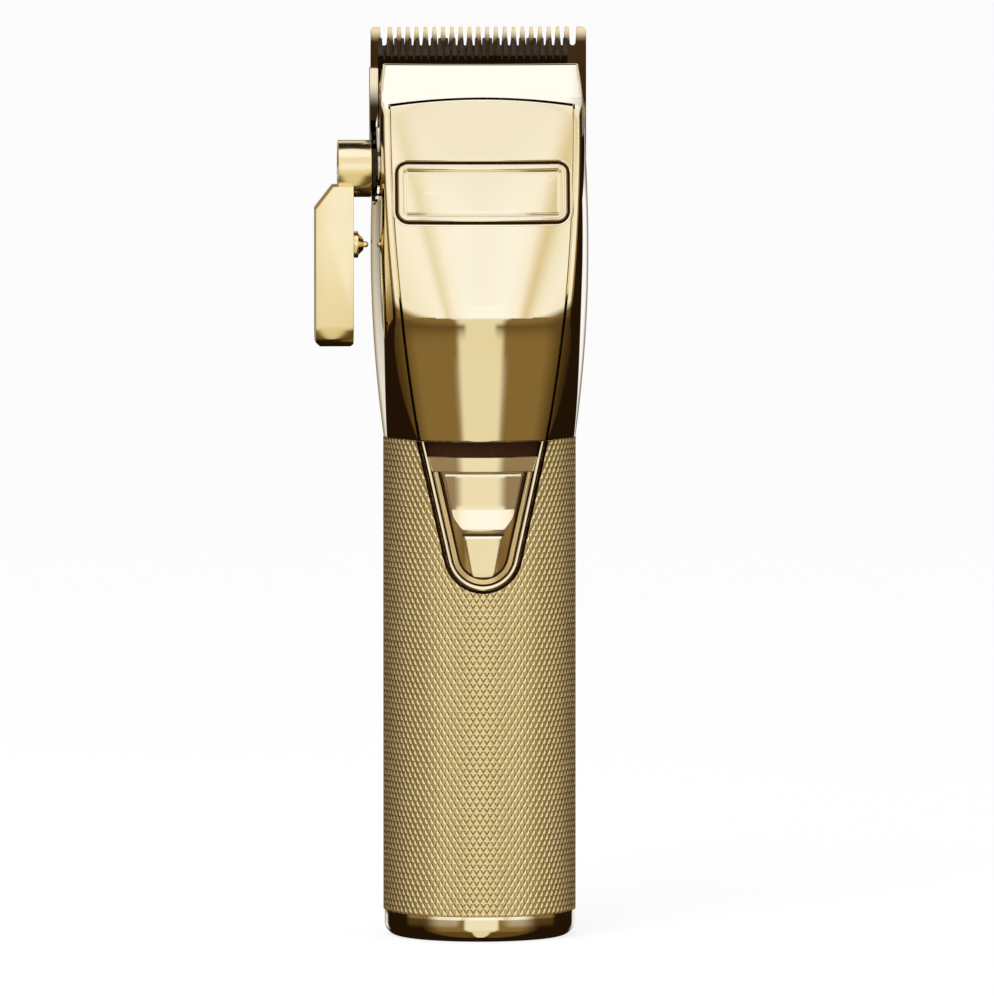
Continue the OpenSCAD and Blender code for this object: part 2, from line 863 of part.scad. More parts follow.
module motor_can() {
    color(steel) translate([0, motor_y, motor_z]) difference() {
        cylinder(h = motor_len, r = motor_r);
        translate([0, 0, 1.2]) cylinder(h = motor_len, r = motor_r - 1);
        translate([0, 0, -1]) cylinder(h = 4, r = shaft_r + run);
    }
}

module motor_magnets() {
    color(dark) translate([0, motor_y, 0]) for (a = [0, 180]) rotate(a) intersection() {
        pipe(motor_r - 1.05, motor_r - 2.6, motor_z + 5, motor_len - 10);
        block([2.5, -20, 0], [20, 20, big]);
    }
}

module motor_plate() {
    color(steel) translate([0, motor_y, 0]) difference() {
        union() {
            translate([0, 0, motor_top]) cylinder(h = end_t, r = motor_r);
            translate([0, 0, motor_top]) cylinder(h = boss_top - motor_top, r = 3);
        }
        translate([0, 0, motor_top - 1]) cylinder(h = 10, r = shaft_r + run);
        for (s = [-1, 1]) translate([s * 7.5, 0, motor_top - 1]) cylinder(h = 5, r = 1.05);
    }
}

module motor_screws() {
    color(steel) translate([0, motor_y, 0]) for (s = [-1, 1]) translate([s * 7.5, 0, 0]) {
        translate([0, 0, motor_top + end_t]) cylinder(h = 1.1, r = 1.9);
        translate([0, 0, motor_top - 2.5]) cylinder(h = end_t + 3, r = 1);
    }
}

module motor_leads() {
    color("crimson") for (x = [-3, 3]) translate([x, board_y + 0.7, board_top - 3])
        cylinder(h = motor_z - board_top + 3, r = 0.6);
}

module motor_shaft() {
    color(steel) translate([0, motor_y, motor_z + 0.2])
        cylinder(h = crank_z + crank_t - 0.1 - motor_z - 0.2, r = shaft_r);
}

module armature() {
    r = motor_r - 3;
    color("sienna") translate([0, motor_y, motor_z + 5]) difference() {
        cylinder(h = motor_len - 10, r = r);
        translate([0, 0, -1]) cylinder(h = big, r = shaft_r + 0.02);
        for (a = [0, 120, 240]) rotate(a) translate([r - 2, -0.7, -1]) cube([6, 1.4, big]);
    }
}

module eccentric() {
    color(steel) translate([0, motor_y, crank_z]) difference() {
        union() {
            intersection() {
                cylinder(h = crank_t, r = 5);
                translate([-4, -8, 0]) cube([16, 16, 5]);
            }
            translate([-throw, 0, 0]) cylinder(h = crank_t + bearing_h + 0.6, r = crank_pin_r);
        }
        translate([0, 0, -1]) cylinder(h = crank_t + 0.9, r = shaft_r + 0.02);
    }
}

module eccentric_bearing() {
    color(steel) translate([-throw, motor_y, 0])
        pipe(bearing_r, crank_pin_r + 0.02, bearing_z, bearing_h);
}

// ---- blades ----

// Yoke with a slot that the eccentric's bearing runs in
module drive_yoke() {
    head_z = cutter_low_z + 0.8;
    color(dark) translate([-throw, 0, 0]) difference() {
        union() {
            block([-yoke_slot_x - yoke_wall, motor_y - yoke_slot_y - yoke_wall, yoke_z],
                [yoke_slot_x + yoke_wall, motor_y + yoke_slot_y + 1, yoke_z + yoke_t]);
            block([-4.5, -3.9, yoke_z + 0.2], [4.5, -1.8, head_z + 5]);
            block([-6.5, -3.9, head_z], [6.5, cutter_y, head_z + 5]);
        }
        translate([0, motor_y, yoke_z - 1]) linear_extrude(yoke_t + 2)
            square([2 * yoke_slot_x, 2 * yoke_slot_y], center = true);
        translate([0, motor_y, yoke_z - 1]) cylinder(h = yoke_t + 4, r = yoke_slot_x + 0.4);
    }
}

// Outline of one gap between teeth, from its root up past the tips
module tooth_gap(x, root, tip, w_root, w_tip) {
    translate([x, root + w_root / 2]) circle(r = w_root / 2);
    polygon([
        [x - w_root / 2, root + w_root / 2], [x + w_root / 2, root + w_root / 2],
        [x + w_tip / 2, tip + 0.5], [x - w_tip / 2, tip + 0.5]
    ]);
}

module cutter() {
    color(dark) translate([-throw, 0, 0]) difference() {
        along_x(-cutter_w / 2, cutter_w / 2) polygon([
            [cutter_y, cutter_low_z], [blade_y - run, cutter_low_z], [blade_y - run, cutter_tip_z],
            [blade_y - run - 0.6, cutter_tip_z], [cutter_y, cutter_root_z]
        ]);
        through_y() for (i = [0:cutter_teeth - 2])
            tooth_gap((i - (cutter_teeth - 2) / 2) * cutter_pitch, cutter_root_z, cutter_tip_z,
                0.5, 1.1);
        for (s = [-1, 1]) rod_y(0, 10, s * 12, cutter_low_z + 4, 1.2);
    }
}

// Wire spring that presses the cutter onto the fixed blade
module cutter_spring() {
    wire = 0.5;
    leg = 0.46;
    coil_x = 10.5;
    front = pocket_y - bridge_t - wire - 0.02;
    coil_z = pocket_z + 3.2;
    tip_y = cutter_y - wire - 0.05;
    reach_z = bridge_top + 1.4;
    bar_z = nose_z - 4;
    lean = atan2(tip_y - front, bar_z - reach_z);
    color(steel) {
        for (s = [-1, 1]) {
            translate([s * coil_x, front - 1.6, coil_z]) rotate([0, s * 90, 0]) rotate_extrude()
                for (i = [0:2]) translate([1.6, i * 0.95]) circle(r = wire);
            translate([s * coil_x, front, coil_z]) cylinder(h = reach_z - coil_z, r = leg);
            translate([s * coil_x, front, reach_z]) sphere(r = wire);
            translate([s * coil_x, front, reach_z]) rotate([-lean, 0, 0])
                cylinder(h = norm([tip_y - front, bar_z - reach_z]), r = leg);
            translate([s * coil_x, tip_y, bar_z]) sphere(r = wire);
        }
        rod_x(-coil_x, coil_x, tip_y, bar_z, leg);
    }
}

module blade_screw_spots() {
    for (s = [-1, 1]) translate([s * blade_screw_x, 0, fastener_z]) children();
}

module fixed_blade() {
    half = blade_w / 2;
    back = blade_y + blade_t;
    root = tip_z - fixed_gap_depth;
    pairs = (fixed_teeth - 1) / 2;
    end_x = (pairs * fixed_pitch + half - guard_w) / 2 + 0.2;
    end_w = half - guard_w - pairs * fixed_pitch;
    color(gold) difference() {
        along_x(-half, half) polygon([
            [blade_y, blade_low_z], [back - 0.5, blade_low_z], [back, blade_low_z + 0.5],
            [back, tip_z - 13], [back - 1.4, tip_z - 6.5], [blade_y + 0.75, tip_z],
            [blade_y, tip_z]
        ]);
        // gaps between the teeth, and wider ones beside the corner guards
        through_y() for (i = [-pairs:pairs - 1])
            tooth_gap((i + 0.5) * fixed_pitch, root, tip_z, 0.5, 1.34);
        through_y() for (s = [-1, 1])
            tooth_gap(s * end_x, root, tip_z, end_w * 0.55, end_w * 0.8);
        // rounded corner guards
        through_y() for (s = [-1, 1]) difference() {
            translate([s * half - 1, tip_z - 1]) square([2, 2]);
            translate([s * (half - 1), tip_z - 1]) circle(r = 1);
        }
        // room for the side arm
        block([-30, 0, 0], [strip_in_x + 0.05, 30, tip_z - 8.4]);
        blade_screw_spots() {
            rod_y(0, 30, 0, 0, m3_r + run);
            rod_y(back - 1.3, 30, 0, 0, 2.9);
        }
    }
}

module blade_screws() {
    back = blade_y + blade_t;
    color(steel) blade_screw_spots() difference() {
        union() {
            rod_y(back - 1.3, back + 0.3, 0, 0, 2.7);
            rod_y(carrier_y + 0.3, back - 0.5, 0, 0, m3_r);
        }
        for (a = [0, 90]) rotate([0, a, 0]) block([-1.7, back - 0.5, -0.35], [1.7, back + 1, 0.35]);
    }
}

module blade_carrier() {
    color(steel) difference() {
        block([eye_x + eye_t, carrier_y, pocket_z + 0.4 + blade_travel],
            [half_at_carrier(), blade_y, bridge_top + 0.3]);
        // stepped slots of the carrier screws, and the blade screws' holes
        for (s = [-1, 1]) translate([s * carrier_screw_x, 0, fastener_z]) {
            along_y(carrier_y - 1, blade_y + 1) slot2(m3_r + 0.1, 2 * blade_travel + 0.2);
            along_y(carrier_y + 1.8, blade_y + 1) slot2(2.4, 2 * blade_travel + 0.2);
        }
        blade_screw_spots() rod_y(0, 30, 0, 0, m3_r + run);
    }
}

// Stamped arm at the end of the carrier, with the eye that the lever moves
module blade_arm() {
    strip_top = tip_z - 8.45;
    color(steel) difference() {
        union() {
            // eye plate around the pivot post
            along_x(eye_x, eye_x + eye_t) {
                translate([hub_y, hub_z]) circle(r = eye_r);
                polygon([
                    [hub_y - 3, hub_z + 5], [hub_y + 3, hub_z - 4.6], [blade_y, pocket_z + 2],
                    [blade_y, strip_top], [carrier_y, strip_top], [carrier_y, hub_z + 11]
                ]);
            }
            // side arm up to the corner guard
            intersection() {
                along_x(strip_out_x, strip_in_x) polygon([
                    [carrier_y - 2.6, hub_z + 6.5], [blade_y, hub_z + 3], [blade_y + 1.6, strip_top],
                    [carrier_y, strip_top]
                ]);
                through_y() polygon([
                    [strip_out_x, hub_z], [strip_out_x + 0.65, hub_z + 6],
                    [strip_in_x, hub_z + 12], [strip_in_x, strip_top], [strip_out_x, strip_top]
                ]);
            }
        }
        // slots for the pivot post and the lever's stud
        along_x(-big, 0) {
            translate([hub_y, hub_z]) slot2(post_r + 0.15, 2 * blade_travel + 0.3);
            translate([hub_y + stud_off - 0.12, hub_z])
                rotate(90) slot2(stud_r + 0.06, stud_off * (1 - cos(lever_swing)) + 0.1);
        }
    }
}

function half_at_carrier() = head_half(pocket_z + 6) - 1;

module carrier_screws() {
    color(steel) for (s = [-1, 1]) translate([s * carrier_screw_x, 0, fastener_z]) {
        rod_y(pocket_y - bridge_t - 0.5, carrier_y + 2, 0, 0, m3_r);
        rod_y(carrier_y + 1.9, carrier_y + 2.9, 0, 0, 2.3);
    }
}

// ---- taper lever ----

// Outline of the lever seen from the front
module lever_outline() {
    top = hub_z - 3.5;
    low = hub_z - lever_len;
    polygon([
        [arm_in_x, top], [arm_in_x - 4.2, top], [arm_out_x, top - 4.8],
        [arm_out_x, low + 1], [arm_out_x + 1, low], [arm_in_x - 0.6, low], [arm_in_x, low + 0.6]
    ]);
}

// Outline of the lever seen from the side
module lever_side() {
    half = hub_d / 2;
    low = hub_z - lever_len;
    corner = 4.5;
    translate([hub_y - half, low + corner]) square([2 * half, lever_len - corner]);
    translate([hub_y - half + corner, low]) square([2 * (half - corner), lever_len]);
    for (s = [-1, 1]) translate([hub_y + s * (half - corner), low + corner]) circle(r = corner);
}

module taper_lever() {
    color(gold) difference() {
        union() {
            rod_x(hub_out_x, hub_in_x, hub_y, hub_z, hub_d / 2);
            intersection() {
                through_y() lever_outline();
                along_x(-60, 0) lever_side();
            }
            rod_x(hub_in_x - 1, eye_x + eye_t - 0.1, hub_y + stud_off, hub_z, stud_r);
        }
        rod_x(-60, 0, hub_y, hub_z, post_r + run);
        rod_x(hub_out_x - 1, post_out_x + 0.1, hub_y, hub_z, 3.1);
        rod_x(arm_in_x - 4.6, arm_in_x + 1, hub_y, detent_z, 1.6);
    }
}

module pivot_post() {
    color(steel) difference() {
        union() {
            rod_x(post_out_x, relief_x + 2.9, hub_y, hub_z, post_r);
            rod_x(relief_x + 2, relief_x + 3, hub_y, hub_z, 3.5);
        }
        rod_x(post_out_x - 1, post_out_x + 5, hub_y, hub_z, 1.02);
    }
}

module lever_screw() {
    color(steel) difference() {
        union() {
            rod_x(post_out_x - 1.3, post_out_x, hub_y, hub_z, 2.8);
            rod_x(post_out_x - 0.5, post_out_x + 4.6, hub_y, hub_z, 1);
        }
        block([post_out_x - 2, hub_y - 3, hub_z - 0.35], [post_out_x - 0.7, hub_y + 3, hub_z + 0.35]);
    }
}

module lever_washer() {
    color(steel) difference() {
        rod_x(relief_x - 0.65, relief_x, hub_y, hub_z, 3.6);
        rod_x(-30, 0, hub_y, hub_z, post_r + run);
    }
}

module plunger_body() {
    color(steel) difference() {
        union() {
            rod_x(arm_in_x - 4.5, arm_in_x, hub_y, detent_z, 1.5);
            rod_x(arm_in_x, arm_in_x + 1.1, hub_y, detent_z, knob_r);
            translate([arm_in_x + 1.1, hub_y, detent_z]) rotate([0, 90, 0])
                cylinder(h = 1.1, r1 = knob_r - 0.5, r2 = 1.15);
        }
        rod_x(arm_in_x - 4, arm_in_x + 0.6, hub_y, detent_z, 1.1);
        rod_x(arm_in_x - 3, 0, hub_y, detent_z, 0.72);
    }
}

module detent_pin() {
    color(steel) {
        rod_x(arm_in_x - 0.6, pin_tip_x - 0.65, hub_y, detent_z, 0.65);
        rod_x(arm_in_x - 0.6, arm_in_x + 0.5, hub_y, detent_z, 1);
        translate([pin_tip_x - 0.65, hub_y, detent_z]) sphere(r = 0.65);
    }
}

module detent_spring() {
    turns = 5;
    wire = 0.2;
    start = arm_in_x - 3.75;
    pitch = (arm_in_x - 0.65 - wire - start) / turns;
    color(steel) for (i = [0:turns]) translate([start + i * pitch, hub_y, detent_z])
        rotate([0, 90, 0]) rotate_extrude() translate([0.8, 0]) circle(r = wire);
}

head_housing();
front_cover();
badge_plate();
barrel_sleeve();
base_ring();
base_plug();
base_seal();
cap_screws();
charging_socket();
socket_pin();
inner_frame();
frame_screws();
battery_cell();
battery_tabs();
battery_leads();
control_board();
board_parts();
board_screws();
power_switch();
status_light();
light_bar();
switch_bezel();
switch_slider();
motor_cradle();
motor_can();
motor_magnets();
motor_plate();
motor_screws();
motor_leads();
motor_shaft();
armature();
eccentric();
eccentric_bearing();
drive_yoke();
cutter();
cutter_spring();
fixed_blade();
blade_screws();
blade_carrier();
blade_arm();
carrier_screws();
taper_lever();
pivot_post();
lever_screw();
lever_washer();
plunger_body();
detent_pin();
detent_spring();
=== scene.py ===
# Looks of the cordless hair clipper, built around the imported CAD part.
import json
import math

import bmesh
import bpy
import numpy as np
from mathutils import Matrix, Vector


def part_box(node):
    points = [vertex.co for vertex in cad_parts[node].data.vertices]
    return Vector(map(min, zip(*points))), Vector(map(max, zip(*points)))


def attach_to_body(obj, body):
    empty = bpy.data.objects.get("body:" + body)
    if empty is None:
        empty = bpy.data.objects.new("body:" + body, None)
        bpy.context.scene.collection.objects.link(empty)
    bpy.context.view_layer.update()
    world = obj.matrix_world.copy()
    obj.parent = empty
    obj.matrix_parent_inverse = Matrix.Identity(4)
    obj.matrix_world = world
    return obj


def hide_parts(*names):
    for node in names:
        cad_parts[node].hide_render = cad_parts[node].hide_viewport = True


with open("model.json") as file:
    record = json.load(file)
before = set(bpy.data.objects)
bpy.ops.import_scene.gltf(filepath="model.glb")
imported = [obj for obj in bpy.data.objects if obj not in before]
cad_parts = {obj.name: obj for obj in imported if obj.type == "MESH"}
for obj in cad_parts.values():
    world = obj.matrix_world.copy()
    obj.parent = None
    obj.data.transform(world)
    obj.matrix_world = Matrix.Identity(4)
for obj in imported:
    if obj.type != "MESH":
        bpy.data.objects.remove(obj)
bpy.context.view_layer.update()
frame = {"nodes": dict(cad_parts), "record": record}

MM = 0.001


def box_mm(node):
    lo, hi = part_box(node)
    return np.array(lo) / MM, np.array(hi) / MM


# ---- places, from the CAD part's own boxes, in millimetres ----

sleeve_lo, sleeve_hi = box_mm("barrel_sleeve")
head_hi = box_mm("head_housing")[1]
BARREL_R = sleeve_hi[0]
BASE_H = sleeve_lo[2]
SEAM = sleeve_hi[2]
NOSE = head_hi[2]
HALF_W = head_hi[0]
BACK_Y = head_hi[1]

# head form: the sides bow out to a widest level, the cheeks are bevels that lean inwards,
# the front is a low cone, an upper cone above the ridge and a band at the nose
BOW_Z = SEAM + 39.6
SIDE_RISE = HALF_W - BARREL_R - 0.2
BOW_R = ((BOW_Z - SEAM) ** 2 + SIDE_RISE ** 2) / (2 * SIDE_RISE)
CHEEK_TURN = math.radians(28)
CHEEK_OUT, CHEEK_Z = HALF_W + 2.6, SEAM + 33
CHEEK_UP_R, CHEEK_LOW_R = 316.0, 105.0
# the sides draw in towards the front, by the square of the distance before TAPER_Y: not at
# all above TAPER_TOP, and in full below TAPER_FULL
SIDE_TAPER, TAPER_Y = 0.0053, 5.0
TAPER_TOP, TAPER_FULL = NOSE - 8, NOSE - 28
# each front cone: its lean in degrees, the half angle of the cone and its front radius
LOW_LEAN, UP_LEAN, BAND_LEAN = 6.6, 13.0, 34.0
LOW_CONE, UP_CONE = 19.0, 49.0
LOW_R, BAND_R = 26.0, 68.0
RIDGE_H = 26.1
RIDGE_Z = SEAM + RIDGE_H
DIP, DIP_OVER, DIP_FADE = 0.8, 4.0, 22.0
LID_BOW_Z, LID_BOW = RIDGE_Z + 18, 0.00065
BAND_Z = NOSE - 6.7
RIDGE_BLEND, BAND_BLEND = 0.9, 0.5
SEAM_Y = -(BARREL_R + 1.4)
RIDGE_Y = SEAM_Y - RIDGE_H * math.tan(math.radians(LOW_LEAN))
UP_R = LOW_R + RIDGE_H / math.cos(math.radians(LOW_LEAN)) * math.tan(math.radians(LOW_CONE))
BAND_Y = RIDGE_Y + (BAND_Z - RIDGE_Z) * math.tan(math.radians(UP_LEAN))
BACK_TURN_Z = SEAM + 13.6
BACK_R = 85.0
# the blades' pocket in the back
POCKET_Z = NOSE - 24.2
POCKET_Y = 1.45
# the nose's corners are a little fuller than the CAD part's
CORNER_AT, CORNER_SIZE = (20.18, -12.6, NOSE - 12.15), (1.35, 18.8, 23.7)

# cover: its sides are arcs, and its top is an arch under the nose band
COVER_HALF, COVER_LOW = 19.25, 13.3
COVER_TURN = NOSE - 10.4
COVER_DX, COVER_DZ = COVER_HALF - COVER_LOW, COVER_TURN - SEAM
COVER_R = (COVER_DZ ** 2 + COVER_DX ** 2) / (2 * COVER_DX)
ARCH_RISE = 1.46
ARCH_R = (COVER_HALF ** 2 + ARCH_RISE ** 2) / (2 * ARCH_RISE)
ARCH_TOP = BAND_Z - 0.15
COVER_T = 1.6
BADGE_Z = NOSE - 26.3
BADGE_W, BADGE_H, BADGE_CORNER = 36.2, 12.8, 2.6

# switch panel: straight sides that lean in to a round lower end
VEE_HALF, VEE_LEN, VEE_R = 13.28, 31.1, 7.8
VEE_Z = SEAM - VEE_LEN
VEE_LEAN = math.radians(13)


# ---- mesh helpers ----

def make_object(name, verts, faces, smooth=True):
    mesh = bpy.data.meshes.new(name)
    mesh.from_pydata([tuple(v) for v in np.asarray(verts, float) * MM], [], faces)
    mesh.update()
    mesh.polygons.foreach_set("use_smooth", [smooth] * len(mesh.polygons))
    obj = bpy.data.objects.new(name, mesh)
    bpy.context.scene.collection.objects.link(obj)
    return obj


def grid_faces(rows, cols, wrap=False, start=0, flip=False):
    """Quads of a grid of points, in rows."""
    faces = []
    last = cols if wrap else cols - 1
    for r in range(rows - 1):
        for c in range(last):
            a = start + r * cols + c
            b = start + r * cols + (c + 1) % cols
            quad = (a, b, b + cols, a + cols)
            faces.append(quad[::-1] if flip else quad)
    return faces


def box_piece(name, centre, size):
    c, h = np.array(centre), np.array(size) / 2
    pts = [c + h * (i, j, k) for i in (-1, 1) for j in (-1, 1) for k in (-1, 1)]
    faces = [(0, 1, 3, 2), (4, 6, 7, 5), (0, 4, 5, 1), (2, 3, 7, 6), (0, 2, 6, 4), (1, 5, 7, 3)]
    return outward(make_object(name, pts, faces, smooth=False))


def outward(obj):
    """Turns the faces of a closed mesh outwards."""
    bm = bmesh.new()
    bm.from_mesh(obj.data)
    bmesh.ops.recalc_face_normals(bm, faces=bm.faces)
    bm.to_mesh(obj.data)
    bm.free()
    return obj


def boolean(obj, other, operation="DIFFERENCE"):
    mod = obj.modifiers.new("cut", "BOOLEAN")
    mod.operation = operation
    mod.solver = "MANIFOLD"
    mod.object = other
    obj.data = applied(obj)
    obj.modifiers.clear()
    bpy.data.objects.remove(other)
    return obj


def applied(obj):
    bpy.context.view_layer.update()
    graph = bpy.context.evaluated_depsgraph_get()
    return bpy.data.meshes.new_from_object(obj.evaluated_get(graph))


def cad_copy(node, name):
    """A copy of a CAD node's mesh, with its vertices joined."""
    mesh = frame["nodes"][node].data.copy()
    obj = bpy.data.objects.new(name, mesh)
    bpy.context.scene.collection.objects.link(obj)
    bm = bmesh.new()
    bm.from_mesh(mesh)
    bmesh.ops.remove_doubles(bm, verts=bm.verts, dist=2e-7)
    bm.to_mesh(mesh)
    bm.free()
    if "custom_normal" in mesh.attributes:
        mesh.attributes.remove(mesh.attributes["custom_normal"])
    return obj


def soften(obj, width, angle=32, segments=3):
    """Flat facets joined, edges rounded and the rest shaded smooth."""
    bm = bmesh.new()
    bm.from_mesh(obj.data)
    bmesh.ops.dissolve_limit(
        bm, angle_limit=math.radians(0.6), verts=bm.verts, edges=bm.edges)
    bm.to_mesh(obj.data)
    bm.free()
    mod = obj.modifiers.new("edge", "BEVEL")
    mod.width = width * MM
    mod.segments = segments
    mod.limit_method = "ANGLE"
    mod.angle_limit = math.radians(angle)
    mod.use_clamp_overlap = True
    obj.data = applied(obj)
    obj.modifiers.clear()
    obj.data.polygons.foreach_set("use_smooth", [True] * len(obj.data.polygons))
    obj.data.set_sharp_from_angle(angle=math.radians(angle))
    return obj


def smax(a, b, k):
    """The larger of two fields, blended over k where they meet."""
    h = np.clip(0.5 + 0.5 * (a - b) / k, 0, 1)
    return b + (a - b) * h + k * h * (1 - h)


# ---- the head's form, as a field that is negative inside ----

def cone_field(x, y, z, y0, z0, lean, cone, front_r):
    """Distance outside a leaning cone whose front line passes through (y0, z0)."""
    a, c = math.radians(lean + cone), math.radians(cone)
    r0 = front_r * math.cos(c)
    yy, zz = y - y0, z - z0
    yl = yy * math.cos(a) - zz * math.sin(a)
    zl = yy * math.sin(a) + zz * math.cos(a)
    return (np.hypot(x, yl - r0) - (r0 + zl * math.tan(c))) * math.cos(c)


def ridge_dip(z):
    """How far the front draws in just under the ridge."""
    below = np.maximum(RIDGE_Z - 0.2 - z, 0)
    return DIP * (1 - np.exp(-below / DIP_OVER)) * np.exp(-below / DIP_FADE)


def front_field(x, y, z):
    """The front alone: the low and upper cones, the nose band and the lid's bow."""
    low = cone_field(x, y, z, SEAM_Y, SEAM, -LOW_LEAN, LOW_CONE, LOW_R) + ridge_dip(z)
    up = cone_field(x, y, z, RIDGE_Y, RIDGE_Z, UP_LEAN, UP_CONE, UP_R)
    band = cone_field(x, y, z, BAND_Y, BAND_Z, BAND_LEAN, 0, BAND_R)
    bow = LID_BOW * np.clip(z - LID_BOW_Z, 0, BAND_Z - LID_BOW_Z) ** 2
    return smax(smax(low, up, RIDGE_BLEND), band, BAND_BLEND) + bow


def cheek_line(z):
    """How far out the cheek lies at a level, measured square to it."""
    rise = z - CHEEK_Z
    r = np.where(rise > 0, CHEEK_UP_R, CHEEK_LOW_R)
    return CHEEK_OUT - r + np.sqrt(np.maximum(r * r - rise * rise, 0))


def head_field(x, y, z):
    """The whole head: front, sides, cheeks, round back and its pocket."""
    f = front_field(x, y, z)
    taper = SIDE_TAPER * np.clip((TAPER_TOP - z) / (TAPER_TOP - TAPER_FULL), 0, 1)
    wide = np.abs(x) + taper * np.maximum(TAPER_Y - y, 0) ** 2
    f = smax(f, np.hypot(wide - (HALF_W - BOW_R), z - BOW_Z) - BOW_R, 0.5)
    # bevelled cheeks
    lean = np.abs(x) * math.cos(CHEEK_TURN) - y * math.sin(CHEEK_TURN)
    f = smax(f, lean - cheek_line(z), 0.3)
    # the back half is round
    turned = np.hypot(np.hypot(x, y) - (HALF_W + 0.25 - BOW_R), z - BOW_Z) - BOW_R
    f = smax(f, turned - np.maximum(-y, 0), 1.2)
    curve = np.hypot(y - (BACK_Y - BACK_R), z - BACK_TURN_Z) - BACK_R
    back = np.where(z < BACK_TURN_Z, y - BACK_Y, curve)
    back = np.where(z > POCKET_Z + 2, y - (POCKET_Y + 2), back)
    return smax(f, back, 1.2)


def solve(field, origin, direction, inset, far, steps=34):
    """Distance along each ray at which the field reaches -inset."""
    lo = np.zeros(direction.shape[:-1])
    hi = np.full(direction.shape[:-1], float(far))
    for _ in range(steps):
        mid = (lo + hi) / 2
        p = origin + direction * mid[..., None]
        inside = field(p[..., 0], p[..., 1], p[..., 2]) < -inset
        lo, hi = np.where(inside, mid, lo), np.where(inside, hi, mid)
    return (lo + hi) / 2


def gradient(field, p, step=0.01):
    """Unit normals of a field at points."""
    g = np.empty_like(p)
    for i in range(3):
        d = np.zeros(3)
        d[i] = step
        a, b = p + d, p - d
        g[:, i] = field(a[:, 0], a[:, 1], a[:, 2]) - field(b[:, 0], b[:, 1], b[:, 2])
    return g / np.linalg.norm(g, axis=1, keepdims=True)


def field_normals(obj, field, inset, tolerance=0.012):
    """Exact normals where the mesh lies on the field's surface."""
    mesh = obj.data
    mesh.polygons.foreach_set("use_smooth", [True] * len(mesh.polygons))
    mesh.set_sharp_from_angle(angle=math.radians(32))
    corner = np.zeros(len(mesh.loops) * 3)
    mesh.corner_normals.foreach_get("vector", corner)
    corner = corner.reshape(-1, 3)
    co = np.zeros(len(mesh.vertices) * 3)
    mesh.vertices.foreach_get("co", co)
    co = co.reshape(-1, 3) / MM
    value = np.abs(field(co[:, 0], co[:, 1], co[:, 2]) + inset)
    grad = gradient(field, co)
    vert = np.zeros(len(mesh.loops), int)
    mesh.loops.foreach_get("vertex_index", vert)
    loops = np.zeros(len(mesh.polygons), int)
    mesh.polygons.foreach_get("loop_total", loops)
    face = np.repeat(np.arange(len(mesh.polygons)), loops)
    pn = np.zeros(len(mesh.polygons) * 3)
    mesh.polygons.foreach_get("normal", pn)
    pn = pn.reshape(-1, 3)
    on = (value[vert] < tolerance) & (np.einsum("ij,ij->i", pn[face], grad[vert]) > 0.8)
    corner[on] = grad[vert][on]
    mesh.normals_split_custom_set([tuple(n) for n in corner])
    return obj


def head_form(name, z0, z1, inset, cols=600, step=0.33, fillet=0.35):
    """The head as a closed grid, found along rays from an axis inside it."""
    axis_y = -3
    turn = np.linspace(0, 2 * math.pi, cols, endpoint=False)
    direction = np.stack([np.sin(turn), -np.cos(turn), np.zeros(cols)], 1)
    rows = [(z0 + fillet * (1 - math.cos(a)), fillet * (1 - math.sin(a)))
            for a in np.linspace(0, math.pi / 2, 5)[:-1]]
    count = int((z1 - z0 - 2 * fillet) / step)
    rows += [(z, 0) for z in np.linspace(z0 + fillet, z1 - fillet, count)]
    rows += [(z1 - fillet + fillet * math.sin(a), fillet * (1 - math.cos(a)))
             for a in np.linspace(0, math.pi / 2, 6)[1:]]
    zs = np.array([r[0] for r in rows])
    origin = np.zeros((len(rows), cols, 3))
    origin[..., 1] = axis_y
    origin[..., 2] = zs[:, None]
    ray = np.broadcast_to(direction, origin.shape)
    extra = np.array([r[1] for r in rows])[:, None] + inset
    r = solve(head_field, origin, ray, extra, 45)
    p = (origin + ray * r[..., None]).reshape(-1, 3)
    faces = grid_faces(len(rows), cols, wrap=True)
    low, high = len(p), len(p) + 1
    p = np.vstack([p, [0, axis_y, zs[0]], [0, axis_y, zs[-1]]])
    top = (len(rows) - 1) * cols
    faces += [(low, (c + 1) % cols, c) for c in range(cols)]
    faces += [(high, top + c, top + (c + 1) % cols) for c in range(cols)]
    return outward(make_object(name, p, faces))


# ---- materials ----

def new_material(name):
    mat = bpy.data.materials.new(name)
    mat.use_nodes = True
    return mat, mat.node_tree.nodes, mat.node_tree.links


